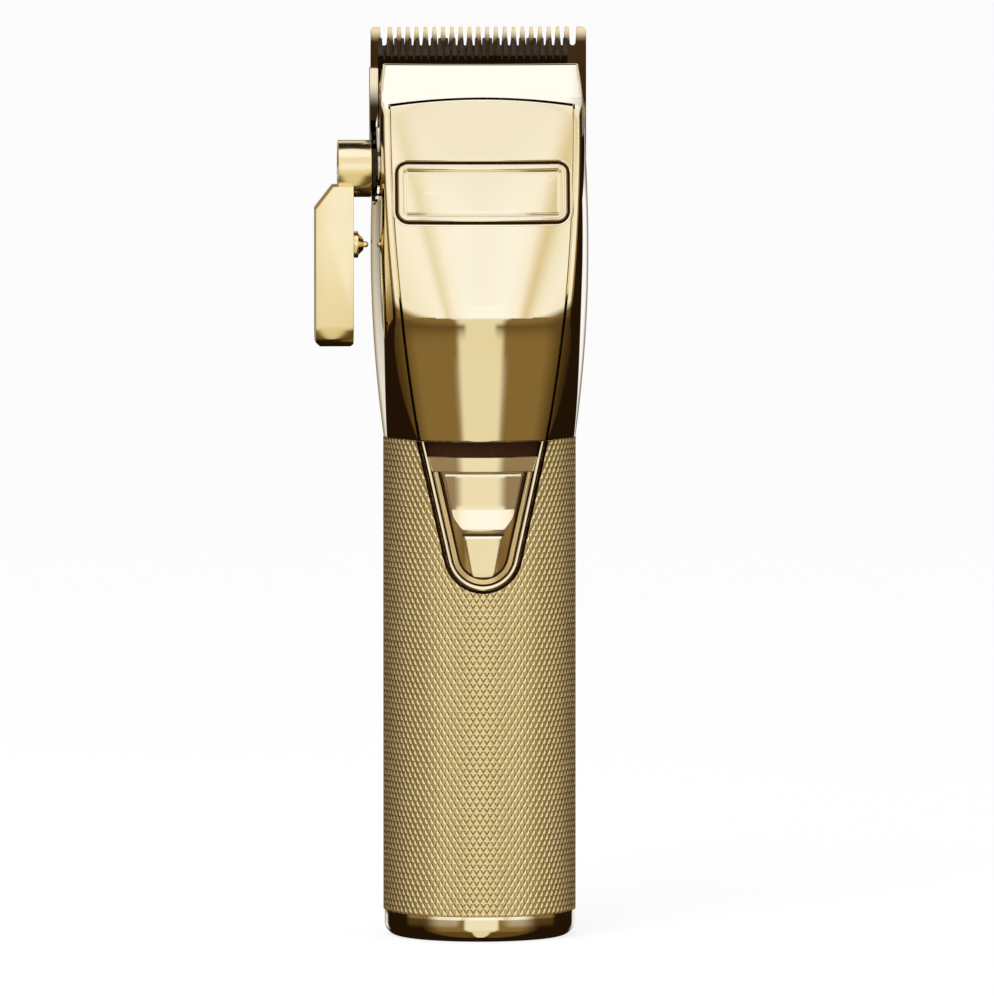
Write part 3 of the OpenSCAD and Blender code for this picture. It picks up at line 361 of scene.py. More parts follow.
def metal(name, dark, light, rough, scale=900.0, bump=0.0, spread=0.04):
    """A metal whose colour and roughness vary a little with a fine noise."""
    mat, nodes, links = new_material(name)
    bsdf = nodes["Principled BSDF"]
    bsdf.inputs["Metallic"].default_value = 1.0
    coords = nodes.new("ShaderNodeTexCoord")
    noise = nodes.new("ShaderNodeTexNoise")
    noise.inputs["Scale"].default_value = scale
    noise.inputs["Detail"].default_value = 3
    links.new(coords.outputs["Object"], noise.inputs["Vector"])
    ramp = nodes.new("ShaderNodeValToRGB")
    ramp.color_ramp.elements[0].position = 0.3
    ramp.color_ramp.elements[1].position = 0.7
    ramp.color_ramp.elements[0].color = (*dark, 1)
    ramp.color_ramp.elements[1].color = (*light, 1)
    links.new(noise.outputs["Fac"], ramp.inputs["Fac"])
    links.new(ramp.outputs["Color"], bsdf.inputs["Base Color"])
    span = nodes.new("ShaderNodeMapRange")
    span.inputs["To Min"].default_value = max(rough - spread, 0.01)
    span.inputs["To Max"].default_value = rough + spread
    links.new(noise.outputs["Fac"], span.inputs["Value"])
    links.new(span.outputs["Result"], bsdf.inputs["Roughness"])
    if bump:
        node = nodes.new("ShaderNodeBump")
        node.inputs["Strength"].default_value = bump
        node.inputs["Distance"].default_value = 0.00005
        links.new(noise.outputs["Fac"], node.inputs["Height"])
        links.new(node.outputs["Normal"], bsdf.inputs["Normal"])
    return mat


def matte(name, dark, light, rough, scale=700.0, coat=0.0):
    """A plastic, rubber or paint, made like the metals."""
    mat = metal(name, dark, light, rough, scale, 0.15, 0.06)
    bsdf = mat.node_tree.nodes["Principled BSDF"]
    bsdf.inputs["Metallic"].default_value = 0.0
    bsdf.inputs["Coat Weight"].default_value = coat
    return mat


MATERIALS = {
    "gold_polish": metal("gold_polish", (0.95, 0.87, 0.69), (0.97, 0.89, 0.71), 0.05, 60, 0, 0.015),
    "gold_knurl": metal("gold_knurl", (0.97, 0.83, 0.49), (1.0, 0.88, 0.53), 0.42, 300),
    "gold_lever": metal("gold_lever", (0.90, 0.77, 0.49), (0.94, 0.81, 0.53), 0.16, 120, 0, 0.03),
    "gold_blade": metal("gold_blade", (0.84, 0.67, 0.38), (0.90, 0.73, 0.43), 0.18, 300),
    "black_blade": metal("black_blade", (0.035, 0.03, 0.028), (0.06, 0.052, 0.047), 0.28, 500),
    "black_plastic": matte("black_plastic", (0.012, 0.012, 0.013), (0.02, 0.02, 0.021), 0.45),
    "seal_rubber": matte("seal_rubber", (0.01, 0.01, 0.01), (0.018, 0.018, 0.018), 0.8),
    "steel": metal("steel", (0.55, 0.55, 0.56), (0.66, 0.66, 0.67), 0.25, 400),
    "magnet_dark": metal("magnet_dark", (0.09, 0.09, 0.1), (0.13, 0.13, 0.14), 0.5, 400),
    "copper": metal("copper", (0.72, 0.32, 0.16), (0.82, 0.4, 0.22), 0.3, 900),
    "cell_wrap": matte("cell_wrap", (0.02, 0.11, 0.3), (0.03, 0.14, 0.36), 0.35, 300, 0.4),
    "board_green": matte("board_green", (0.01, 0.1, 0.035), (0.02, 0.15, 0.05), 0.4, 600, 0.3),
    "wire_red": matte("wire_red", (0.35, 0.015, 0.012), (0.45, 0.02, 0.016), 0.45),
    "light_white": matte("light_white", (0.7, 0.71, 0.72), (0.8, 0.81, 0.82), 0.3),
    "bronze": metal("bronze", (0.72, 0.55, 0.28), (0.78, 0.60, 0.31), 0.15, 200),
    "bronze_deep": metal("bronze_deep", (0.38, 0.26, 0.10), (0.44, 0.30, 0.12), 0.15, 200),
    # a dark brown that paints shade: in the panel's grooves, under the head and in the badge's groove
    "painted_shade_dark": matte("painted_shade_dark", (0.028, 0.010, 0.0032), (0.034, 0.013, 0.0042), 0.8),
}


def fade(mat, other, start, end):
    """Blends a metal into another colour between two levels, given in millimetres; the blades' painted shade
    is made with it.
    """
    nodes, links = mat.node_tree.nodes, mat.node_tree.links
    bsdf = nodes["Principled BSDF"]
    colour = bsdf.inputs["Base Color"].links[0].from_socket
    coords = nodes.new("ShaderNodeTexCoord")
    split = nodes.new("ShaderNodeSeparateXYZ")
    links.new(coords.outputs["Object"], split.inputs[0])
    span = nodes.new("ShaderNodeMapRange")
    span.interpolation_type = "SMOOTHSTEP"
    span.inputs["From Min"].default_value = start * MM
    span.inputs["From Max"].default_value = end * MM
    links.new(split.outputs["Z"], span.inputs["Value"])
    mix = nodes.new("ShaderNodeMix")
    mix.data_type = "RGBA"
    links.new(span.outputs["Result"], mix.inputs[0])
    links.new(colour, mix.inputs[6])
    mix.inputs[7].default_value = (*other, 1)
    links.new(mix.outputs[2], bsdf.inputs["Base Color"])
    return mat


def tune(mat, socket, value):
    """The material, with one input of its shader set."""
    mat.node_tree.nodes["Principled BSDF"].inputs[socket].default_value = value
    return mat


# the painted shade keeps only a faint reflection
tune(MATERIALS["painted_shade_dark"], "Specular IOR Level", 0.05)
tune(MATERIALS["bronze"], "Metallic", 0.6)
satin = tune(MATERIALS["gold_polish"].copy(), "Metallic", 0.93)

SLOT_OF = {part["node"]: part["material_slot"] for part in frame["record"]["subparts"]}
BODY_OF = {}
for body, members in frame["record"]["behaviour"]["bodies"].items():
    for node in members:
        BODY_OF[node] = body


def paint(obj, material):
    obj.data.materials.clear()
    obj.data.materials.append(material)


def attach(obj, body, slot, material=None):
    """A piece of a body, in the slot's finish or in a variant of it."""
    paint(obj, material or MATERIALS[slot])
    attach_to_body(obj, body)
    return obj


def place(obj, nodes, material=None):
    """The piece stands for these nodes, moves with their body and has their finish."""
    slot = SLOT_OF[nodes[0]]
    paint(obj, material or MATERIALS[slot])
    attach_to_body(obj, BODY_OF[nodes[0]])
    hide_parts(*nodes)
    return obj


for node, obj in frame["nodes"].items():
    paint(obj, MATERIALS[SLOT_OF[node]])


# ---- head housing ----

# the housing lies a little inside the form, and the cover on it
SKIN = 0.1
head = head_form("head_shell", SEAM, NOSE, SKIN)
head_solid = cad_copy("head_housing", "head_solid")
for side in (-1, 1):
    corner = box_piece("nose_corner", (side * CORNER_AT[0], *CORNER_AT[1:]), CORNER_SIZE)
    boolean(head_solid, corner, "UNION")
# the CAD solid gives the head its openings and its inside
boolean(head, head_solid, "INTERSECT")
field_normals(head, head_field, SKIN)
place(head, ["head_housing"])


# ---- front cover ----

def cover_half_at(z, shrink=0.0):
    """Half width of the cover at a level."""
    return COVER_HALF - COVER_R + np.sqrt((COVER_R - shrink) ** 2 - (z - COVER_TURN) ** 2)


def cover_top_at(x, shrink=0.0):
    """Top of the cover at a distance from its middle."""
    return ARCH_TOP - ARCH_R + np.sqrt((ARCH_R - shrink) ** 2 - x * x)


def front_y(x, z, out=0.0):
    """The y at which a ray from the front meets the head's front surface."""
    origin = np.stack([x, np.zeros_like(x), z], -1)
    ray = np.zeros_like(origin)
    ray[..., 1] = -1
    return -solve(front_field, origin, ray, -out, 45)


# places across a rounded edge, as they are for a radius of EDGE_FOR
EDGE_STEPS = np.array([0, 0.02, 0.06, 0.12, 0.2, 0.3, 0.42, 0.6])
EDGE_FOR = 0.42


def edge_lines(length, count, round_r):
    """Sample places along a length, packed towards both ends."""
    near = EDGE_STEPS * round_r / EDGE_FOR
    middle = np.linspace(near[-1], length - near[-1], count)[1:-1]
    return np.concatenate([near, middle, (length - near)[::-1]])


def cover_shell(bottom, shrink, round_r, cols=130, rows=300):
    """The cover as a plate on the front's form, with rounded edges."""
    width = 2.0 * COVER_HALF
    u = edge_lines(width, cols, round_r) / width * 2 - 1
    height = ARCH_TOP - bottom
    v = edge_lines(height, rows, round_r) / height
    U, V = np.meshgrid(u, v)
    low = bottom + shrink
    z = low + V * (height - 2 * shrink)
    # a row's width follows from its level, and the top's level from the place across
    for _ in range(6):
        half = cover_half_at(z, shrink)
        x = U * half
        z = low + V * (cover_top_at(x, shrink) - low)
    side = half - np.abs(x)
    d = np.minimum(np.minimum(side, z - low), cover_top_at(x, shrink) - z)
    drop = np.where(d < round_r, round_r - np.sqrt(np.maximum(round_r ** 2 - (round_r - d) ** 2, 0)), 0)
    y = front_y(x, z) + drop
    front = np.stack([x, y, z], -1).reshape(-1, 3)
    back = front.copy()
    back[:, 1] = front_y(x, z, -COVER_T).reshape(-1)
    r, c = U.shape
    faces = grid_faces(r, c) + grid_faces(r, c, start=r * c, flip=True)
    ring = [i for i in range(c)]
    ring += [i * c + c - 1 for i in range(1, r)]
    ring += [(r - 1) * c + i for i in range(c - 2, -1, -1)]
    ring += [i * c for i in range(r - 2, 0, -1)]
    n = r * c
    for a, b in zip(ring, ring[1:] + ring[:1]):
        faces.append((a, a + n, b + n, b))
    return outward(make_object("cover_shell", np.vstack([front, back]), faces))


def round_rect_loop(half_w, half_h, radius, per_corner=14, per_side=40):
    """Points round a rectangle with round corners, each side divided evenly."""
    pts = []
    corners = [(1, 1, 0), (-1, 1, 90), (-1, -1, 180), (1, -1, 270)]
    for i, (sx, sz, start) in enumerate(corners):
        cx, cz = sx * (half_w - radius), sz * (half_h - radius)
        for a in np.radians(np.linspace(start, start + 90, per_corner)):
            pts.append((cx + radius * math.cos(a), cz + radius * math.sin(a)))
        nx, nz = corners[(i + 1) % 4][:2]
        a = math.radians(start + 90)
        p0 = np.array([cx + radius * math.cos(a), cz + radius * math.sin(a)])
        p1 = np.array([nx * (half_w - radius) + radius * math.cos(a),
                       nz * (half_h - radius) + radius * math.sin(a)])
        sides = per_side if i % 2 == 0 else per_side // 3
        for t in np.linspace(0, 1, sides + 2)[1:-1]:
            pts.append(tuple(p0 + (p1 - p0) * t))
    return np.array(pts)


def badge_loop(shrink):
    """The badge's outline, drawn in by shrink, until it is a line."""
    radius = max(BADGE_CORNER - shrink, 0.0005)
    half_h = max(BADGE_H / 2 - shrink, radius + 0.0002)
    loop = round_rect_loop(BADGE_W / 2 - shrink, half_h, radius)
    return loop[:, 0], loop[:, 1] + BADGE_Z


def stack_loops(name, loops, capped=False):
    """A skin over loops of points that follow one another."""
    p = np.vstack(loops)
    n = len(loops[0])
    faces = grid_faces(len(loops), n, wrap=True)
    if capped:
        faces.append(tuple(range((len(loops) - 1) * n, len(loops) * n)))
        faces.append(tuple(range(n))[::-1])
    return outward(make_object(name, p, faces))


def badge_rows(rows):
    """Loops of the badge's outline: each row is how far in, and how far out of the cover."""
    loops = []
    for shrink, out in rows:
        x, z = badge_loop(shrink)
        loops.append(np.stack([x, front_y(x, z) - out, z], -1))
    return loops


def prism(name, outline, y0, y1):
    """An outline in x and z, run through from y0 to y1."""
    n = len(outline)
    pts = [(x, y, z) for y in (y0, y1) for x, z in outline]
    faces = [tuple(range(n)), tuple(range(2 * n - 1, n - 1, -1))]
    faces += [(i, (i + 1) % n, n + (i + 1) % n, n + i) for i in range(n)]
    return outward(make_object(name, pts, faces, smooth=False))


BADGE_LIP = 0.45
cover = cover_shell(bottom=SEAM - 0.1, shrink=0.15, round_r=0.35)
hole_x, hole_z = badge_loop(-BADGE_LIP)
boolean(cover, prism("badge_hole", list(zip(hole_x, hole_z)), -40, -10))
field_normals(cover, front_field, 0.0)
place(cover, ["front_cover"])


def arc_rows(s0, out0, radius, a0, a1, n=6):
    """Rows along a quarter arc round a centre (shrink, out)."""
    return [(s0 + radius * math.cos(a), out0 + radius * math.sin(a))
            for a in np.radians(np.linspace(a0, a1, n))]


# each row is how far in from the badge's outline, and how far out of the cover
recess = [(-BADGE_LIP - 0.15, -0.02), (-BADGE_LIP, 0.0)]
recess += arc_rows(-BADGE_LIP, -BADGE_LIP, BADGE_LIP, 90, 0)
recess += [(0.0, -1.0), (0.9, -1.05), (0.9, -1.5), (-BADGE_LIP - 0.15, -1.5)]
recess_loops = badge_rows(recess)
well = stack_loops("badge_well", recess_loops + recess_loops[:1])
attach(well, "housing", "gold_polish")

# a dark sheet in the groove round the plate paints the shadow that lies there
groove_shadow_loops = badge_rows([(-0.02, -0.75), (0.9, -0.8), (0.9, -1.2), (-0.02, -1.2)])
groove_shadow = stack_loops("badge_groove_shadow", groove_shadow_loops + groove_shadow_loops[:1])
attach(groove_shadow, "housing", "black_plastic", MATERIALS["painted_shade_dark"])

# a raised rim round a bare field
FIELD_OUT = -0.5
plate = [(0.5, -1.0), (0.5, -0.15)]
plate += arc_rows(0.85, -0.15, 0.35, 180, 90)
plate += arc_rows(1.35, -0.15, 0.35, 90, 15)
plate += [(1.78, FIELD_OUT)] + arc_rows(2.1, -0.45, 0.12, 180, 270, 3)
plate += [(s, FIELD_OUT) for s in np.linspace(2.3, BADGE_H / 2 - 0.001, 12)]
badge = stack_loops("badge_face", badge_rows(plate), capped=True)
field_normals(badge, front_field, -FIELD_OUT)
place(badge, ["badge_plate"])


# ---- knurled sleeve ----

KNURL_AROUND = 88
KNURL_ROWS = 42
KNURL_DEPTH = 0.17
# share of each diamond's width that its flat top takes, and how many rows below the sleeve
# the pattern starts
KNURL_FLAT, KNURL_START = 0.42, 1.37
SLEEVE_WALL = 1.3


def vee_shape(grow):
    """Half width of the panel's outline at the seam, and the points of its round end."""
    r = VEE_R + grow
    cz = VEE_Z + VEE_R
    w = VEE_HALF + grow / math.cos(VEE_LEAN)
    turn = math.atan2(SEAM - cz, w) - math.acos(r / math.hypot(w, SEAM - cz))
    arc = [(r * math.cos(a), cz + r * math.sin(a)) for a in np.linspace(turn, -math.pi - turn, 60)]
    return w, arc


def vee_outline(grow, top):
    """Outline of the switch panel, with its straight sides run up to a level."""
    w, arc = vee_shape(grow)
    lx, lz = arc[0]
    w_top = w + (w - lx) / (SEAM - lz) * (top - SEAM)
    return [(w_top, top)] + arc + [(-w_top, top)]


# points along each straight side, with the arc's first one
VEE_SIDE = 24


def vee_line(grow):
    """The panel's outline, from the seam down round its lower end and up again."""
    w, arc = vee_shape(grow)
    share = np.linspace(0, 1, VEE_SIDE)[:-1]
    run = [(w + (arc[0][0] - w) * t, SEAM + (arc[0][1] - SEAM) * t) for t in share]
    return np.array(run + arc + [(-x, z) for x, z in run[::-1]])


def knurled_sleeve():
    """Rows of flat-topped diamonds round the barrel, cut off level at both ends, and a bore."""
    n = KNURL_AROUND
    pitch = (SEAM - BASE_H) / KNURL_ROWS
    start = BASE_H - KNURL_START * pitch
    r_top, r_low = BARREL_R, BARREL_R - KNURL_DEPTH
    verts, faces, index = [], [], {}

    def low(i, j):
        """Index of the groove point at a half step round and a half step up."""
        key = (i % (2 * n), j)
        if key not in index:
            a = math.pi * key[0] / n
            index[key] = len(verts)
            verts.append((r_low * math.sin(a), -r_low * math.cos(a), start + j * pitch / 2))
        return index[key]

    for j in range(1, 2 * KNURL_ROWS + 6):
        for i in range(2 * n):
            if (i + j) % 2 == 0:
                continue
            corner = [low(i - 1, j), low(i, j - 1), low(i + 1, j), low(i, j + 1)]
            top = []
            for di, dj in ((-1, 0), (0, -1), (1, 0), (0, 1)):
                a = math.pi * (i + di * KNURL_FLAT) / n
                z = start + (j + dj * KNURL_FLAT) * pitch / 2
                top.append(len(verts))
                verts.append((r_top * math.sin(a), -r_top * math.cos(a), z))
            for k in range(4):
                m = (k + 1) % 4
                faces.append((corner[k], corner[m], top[m], top[k]))
            faces.append(tuple(top))
    obj = make_object("knurled_sleeve", verts, faces, smooth=False)
    bm = bmesh.new()
    bm.from_mesh(obj.data)
    inner = (BARREL_R - SLEEVE_WALL) * MM
    rings = []
    for z, sign in ((BASE_H * MM, -1), (SEAM * MM, 1)):
        bmesh.ops.bisect_plane(
            bm, geom=bm.verts[:] + bm.edges[:] + bm.faces[:], plane_co=(0, 0, z),
            plane_no=(0, 0, sign), clear_outer=True, dist=1e-8)
        edge = [v for v in bm.verts if v.is_boundary and abs(v.co.z - z) < 1e-6]
        edge.sort(key=lambda v: math.atan2(v.co.y, v.co.x))
        ring = []
        for v in edge:
            a = math.atan2(v.co.y, v.co.x)
            ring.append(bm.verts.new((inner * math.cos(a), inner * math.sin(a), z)))
        for k in range(len(edge)):
            m = (k + 1) % len(edge)
            bm.faces.new((edge[k], edge[m], ring[m], ring[k]))
        rings.append(ring)
    for k in range(len(rings[0])):
        m = (k + 1) % len(rings[0])
        bm.faces.new((rings[0][k], rings[0][m], rings[1][m], rings[1][k]))
    bmesh.ops.recalc_face_normals(bm, faces=bm.faces)
    bm.to_mesh(obj.data)
    bm.free()
    return obj


sleeve = knurled_sleeve()
PANEL_GAP = 0.5
boolean(sleeve, prism("panel_cut", vee_outline(PANEL_GAP, SEAM + 5), -60, -4))
place(sleeve, ["barrel_sleeve"])


# ---- switch panel ----

def on_barrel(x, z, out, flatter=1.0):
    """Points at a distance out of the barrel, or on a flatter round that meets it in front."""
    r = (BARREL_R + out) * flatter
    shift = r - BARREL_R - out
    return np.stack([x, shift - np.sqrt(r * r - x * x), z + 0 * x], -1)


BEAD_R = 0.5
PANEL_FLOOR = -1.7
PANEL_BACK_R = BARREL_R - 2.9


def panel_sheet():
    """Rim bead, guide ridge and floor, as rows from the rim to the middle."""
    # how far outside the outline, and how far out of the barrel
    steps = [(0.8, -1.0), (-0.08, -1.1)]
    steps += [(-0.08 - BEAD_R + BEAD_R * math.cos(a), -0.12 + BEAD_R * math.sin(a))
              for a in np.linspace(0, math.pi, 14)]
    steps += [(-1.1, -1.0), (-1.4, -1.05), (-1.45, -0.8), (-2.4, -0.75), (-2.5, -1.3), (-2.9, -1.4),
              (-2.95, PANEL_FLOOR)]
    # finish of each strip between rows: polish, painted shade in the grooves, bronze or deep bronze
    finish = [1, 1] + [0] * 13 + [1, 1, 2, 2, 1, 1, 3] + [3] * 11
    rows = []
    for grow, out in steps:
        line = vee_line(grow)
        rows.append(on_barrel(line[:, 0], line[:, 1], out))
    for share in np.linspace(1, 0, 12)[1:]:
        rows.append(on_barrel(line[:, 0] * share, line[:, 1], PANEL_FLOOR))
    n = len(rows[0])
    front = np.vstack(rows)
    back = front.copy()
    back[:, 1] = -np.sqrt(PANEL_BACK_R ** 2 - back[:, 0] ** 2)
    size = len(front)
    faces = grid_faces(len(rows), n) + grid_faces(len(rows), n, start=size, flip=True)
    faces += [(i, i + size, i + 1 + size, i + 1) for i in range(n - 1)]
    for r in range(len(rows) - 1):
        for c in (0, n - 1):
            a, b = r * n + c, (r + 1) * n + c
            faces.append((a, b, b + size, a + size) if c else (b, a, a + size, b + size))
    obj = make_object("panel_rim", np.vstack([front, back]), faces)
    for name in ("gold_polish", "painted_shade_dark", "bronze", "bronze_deep"):
        obj.data.materials.append(MATERIALS[name])
    for i, poly in enumerate(obj.data.polygons):
        poly.material_index = finish[min(i // (n - 1), len(finish) - 1)]
    outward(obj)
    obj.data.set_sharp_from_angle(angle=math.radians(40))
    return obj


def barrel_block(name, rows, back_out, round_r=0.3, flatter=1.0, cols=40):
    """A solid on the barrel, from rows of (level, half width, how far out) and a back."""
    front, back = [], []
    for z, half, out in rows:
        u = edge_lines(2 * half, cols, round_r) - half
        d = np.minimum(half - np.abs(u), round_r)
        drop = round_r - np.sqrt(np.maximum(round_r ** 2 - (round_r - d) ** 2, 0))
        front.append(on_barrel(u, z, out - drop, flatter))
        back.append(on_barrel(u, z, back_out, flatter))
    count, n = len(rows), len(front[0])
    size = count * n
    faces = grid_faces(count, n) + grid_faces(count, n, start=size, flip=True)
    for r in range(count - 1):
        for a in (r * n, r * n + n - 1):
            faces.append((a, a + n, a + n + size, a + size))
    for r in (0, count - 1):
        for a in range(r * n, r * n + n - 1):
            faces.append((a, a + 1, a + 1 + size, a + size))
    obj = outward(make_object(name, np.vstack(front + back), faces))
    obj.data.set_sharp_from_angle(angle=math.radians(35))
    return obj


def vee_half_at(level, inset):
    """Half width between the rims at a level."""
    line = vee_line(-inset)[:VEE_SIDE]
    return float(np.interp(level, line[::-1, 1], line[::-1, 0]))


# painted shadow under the head, as a dark sheet, then a step, then the slide
HEAD_SHADOW_LOW = SEAM - 3.15
STEP_LOW = SEAM - 6.45
SLIDER_TOP = SEAM - 6.7
# step, slide and tongue lean in downwards, and are flatter across than the barrel
TILT = math.tan(math.radians(5))
FLATTER = 1.42
# the slide passes over the step, so its back lies further out than the step's front
STEP_OUT, SLIDE_BACK = -1.35, -0.95

panel = panel_sheet()
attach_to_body(panel, "housing")
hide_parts("switch_bezel")

# a dark sheet on the panel paints the head's shadow below the seam
head_shadow_rows = [(z, vee_half_at(z, 1.06), -0.7) for z in np.linspace(HEAD_SHADOW_LOW, SEAM, 4)]
head_shadow = barrel_block("painted_head_shadow", head_shadow_rows, -1.6, 0.05)
attach(head_shadow, "housing", "black_plastic", MATERIALS["painted_shade_dark"])

# each edge of the step is rounded by drops near it
step_levels = [(STEP_LOW, 0.5), (STEP_LOW + 0.05, 0.12), (STEP_LOW + 0.2, 0)]
step_levels += [(HEAD_SHADOW_LOW - 0.2, 0), (HEAD_SHADOW_LOW - 0.05, 0.12), (HEAD_SHADOW_LOW, 0.5)]
step_rows = [(z, vee_half_at(z, 1.15), STEP_OUT + TILT * (z - STEP_LOW) - drop)
             for z, drop in step_levels]
step = barrel_block("panel_step", step_rows, PANEL_FLOOR - 0.1, 0.15, FLATTER)
attach(step, "housing", "gold_polish", satin)


# half widths at the upper ends; the rest are distances below the slide's top
SLIDE_HALF, LEDGE_HALF, TONGUE_HALF = 8.15, 6.63, 4.0
SLIDE_EDGE = 0.4
LEDGE_FROM, TONGUE_FROM, TIP_FROM, TONGUE_TO = 7.6, 12.95, 20.6, 22


def slide_rows():
    """Thumb slide: leans in from its top, then swells out in a ledge."""
    body = []
    for t in [0, 0.04, 0.12, 0.25, 0.4] + list(np.linspace(0.8, 7.3, 8)):
        edge = max(SLIDE_EDGE - t, 0)
        drop = SLIDE_EDGE - math.sqrt(SLIDE_EDGE ** 2 - edge ** 2)
        body.append((SLIDER_TOP - t, SLIDE_HALF - 0.2 * t - 0.5 * edge, 0.3 - TILT * t - drop))
    low = body[-1][2]
    for t in np.linspace(LEDGE_FROM, 11.5, 14):
        half = LEDGE_HALF - (t - LEDGE_FROM) * 0.2 - 1.25 * max(t - 8.8, 0) ** 1.4 / 2.7 ** 1.4
        body.append((SLIDER_TOP - t, half, low + 0.14 * (t - 7.45)))
    end, half = body[-1][2], body[-1][1]
    for t, drop in ((11.7, 0.05), (11.85, 0.14), (11.95, 0.3), (12.0, 0.5)):
        body.append((SLIDER_TOP - t, half - 0.1, end - drop))
    return body


def tongue_rows():
    """Fixed tongue below the slide, narrower towards its round end."""
    rows = []
    for t in np.linspace(TONGUE_FROM, TONGUE_TO, 22):
        down = t - TONGUE_FROM
        near = max(0.3 - down, 0)
        tip = max(t - TIP_FROM, 0) / (TONGUE_TO - TIP_FROM)
        half = (TONGUE_HALF - 0.19 * down) * math.sqrt(1 - 0.8 * tip ** 3)
        rows.append((SLIDER_TOP - t, half, -0.45 - TILT * down - near - 0.3 * tip ** 4))
    return rows


slide = barrel_block("thumb_slide", slide_rows(), SLIDE_BACK, 0.3, FLATTER)
place(slide, ["switch_slider"], satin)
tongue = barrel_block("panel_tongue", tongue_rows(), PANEL_FLOOR - 0.1, 0.3, FLATTER)
attach(tongue, "housing", "gold_polish", satin)


# ---- base ring ----

def turned(name, profile, cols=240):
    """A ring turned from a closed outline of (radius, height)."""
    loops = []
    for r, z in profile:
        a = np.linspace(0, 2 * math.pi, cols, endpoint=False)
        loops.append(np.stack([r * np.cos(a), r * np.sin(a), np.full(cols, z)], -1))
    return stack_loops(name, loops + loops[:1])


base_hi = box_mm("base_ring")[1]
RING_R = base_hi[0]
ROUND, RING_EDGE = 2.75, 0.25
HOLLOW_R, HOLLOW_TOP = 14.0, 2.6
COLLAR_R, COLLAR_IN_R = 18.65, 16.9
INLET_R = 5.1
# the foot's hollow, its round outer edge, its side, and the collar inside the sleeve
ring_profile = [(HOLLOW_R, 0.15), (HOLLOW_R + 0.15, 0.0), (RING_R - ROUND, 0.0)]
ring_profile += [(RING_R - ROUND + ROUND * math.sin(a), ROUND - ROUND * math.cos(a))
                 for a in np.linspace(0.05, math.pi / 2, 20)]
ring_profile += [(RING_R, z) for z in (3.6, 4.6)]
ring_profile += [(RING_R - RING_EDGE + RING_EDGE * math.cos(a), BASE_H - RING_EDGE + RING_EDGE * math.sin(a))
                 for a in np.linspace(0.2, math.pi / 2, 5)]
ring_profile += [(COLLAR_R, BASE_H), (COLLAR_R, base_hi[2]), (COLLAR_IN_R, base_hi[2]),
                 (COLLAR_IN_R, BASE_H), (INLET_R, BASE_H), (INLET_R, HOLLOW_TOP), (HOLLOW_R, HOLLOW_TOP)]
ring = turned("foot_ring", ring_profile)
ring.data.set_sharp_from_angle(angle=math.radians(40))
place(ring, ["base_ring"])


# ---- pieces whose CAD shape only needs its edges rounded ----

for node, width in {
    "taper_lever": 0.45, "blade_screws": 0.12, "blade_carrier": 0.15, "plunger_body": 0.08,
    "lever_screw": 0.1, "lever_washer": 0.08, "pivot_post": 0.1, "base_plug": 0.15,
    "cap_screws": 0.1, "charging_socket": 0.15,
}.items():
    place(soften(cad_copy(node, node + "_fine"), width), [node])

# painted shade on the blades: the ground teeth are bright at their tips, painted dark behind the cutter
# where its shade falls, and gold again on the plate below;
# the cutter is painted black at the roots of its teeth, and the arm painted darker downwards, for the shade
# there
TIP_Z = box_mm("fixed_blade")[1][2]
teeth_painted_shade = fade(MATERIALS["gold_blade"].copy(), (0.05, 0.024, 0.008), TIP_Z - 0.5, TIP_Z - 3.2)
fade(teeth_painted_shade, (0.84, 0.67, 0.38), NOSE - 8, NOSE - 11)
cutter_root_painted_shade = fade(MATERIALS["black_blade"].copy(), (0.01, 0.005, 0.002), NOSE + 1.5, NOSE + 1.1)
arm_painted_shade = fade(MATERIALS["gold_polish"].copy(), (0.04, 0.02, 0.008), NOSE - 4.0, NOSE - 9.5)
blade_pieces = [("fixed_blade", 0.16, teeth_painted_shade), ("cutter", 0.08, cutter_root_painted_shade), ("blade_arm", 0.15, arm_painted_shade)]
for node, width, finish in blade_pieces:
    place(soften(cad_copy(node, node + "_fine"), width), [node], finish)


# ---- studio ----

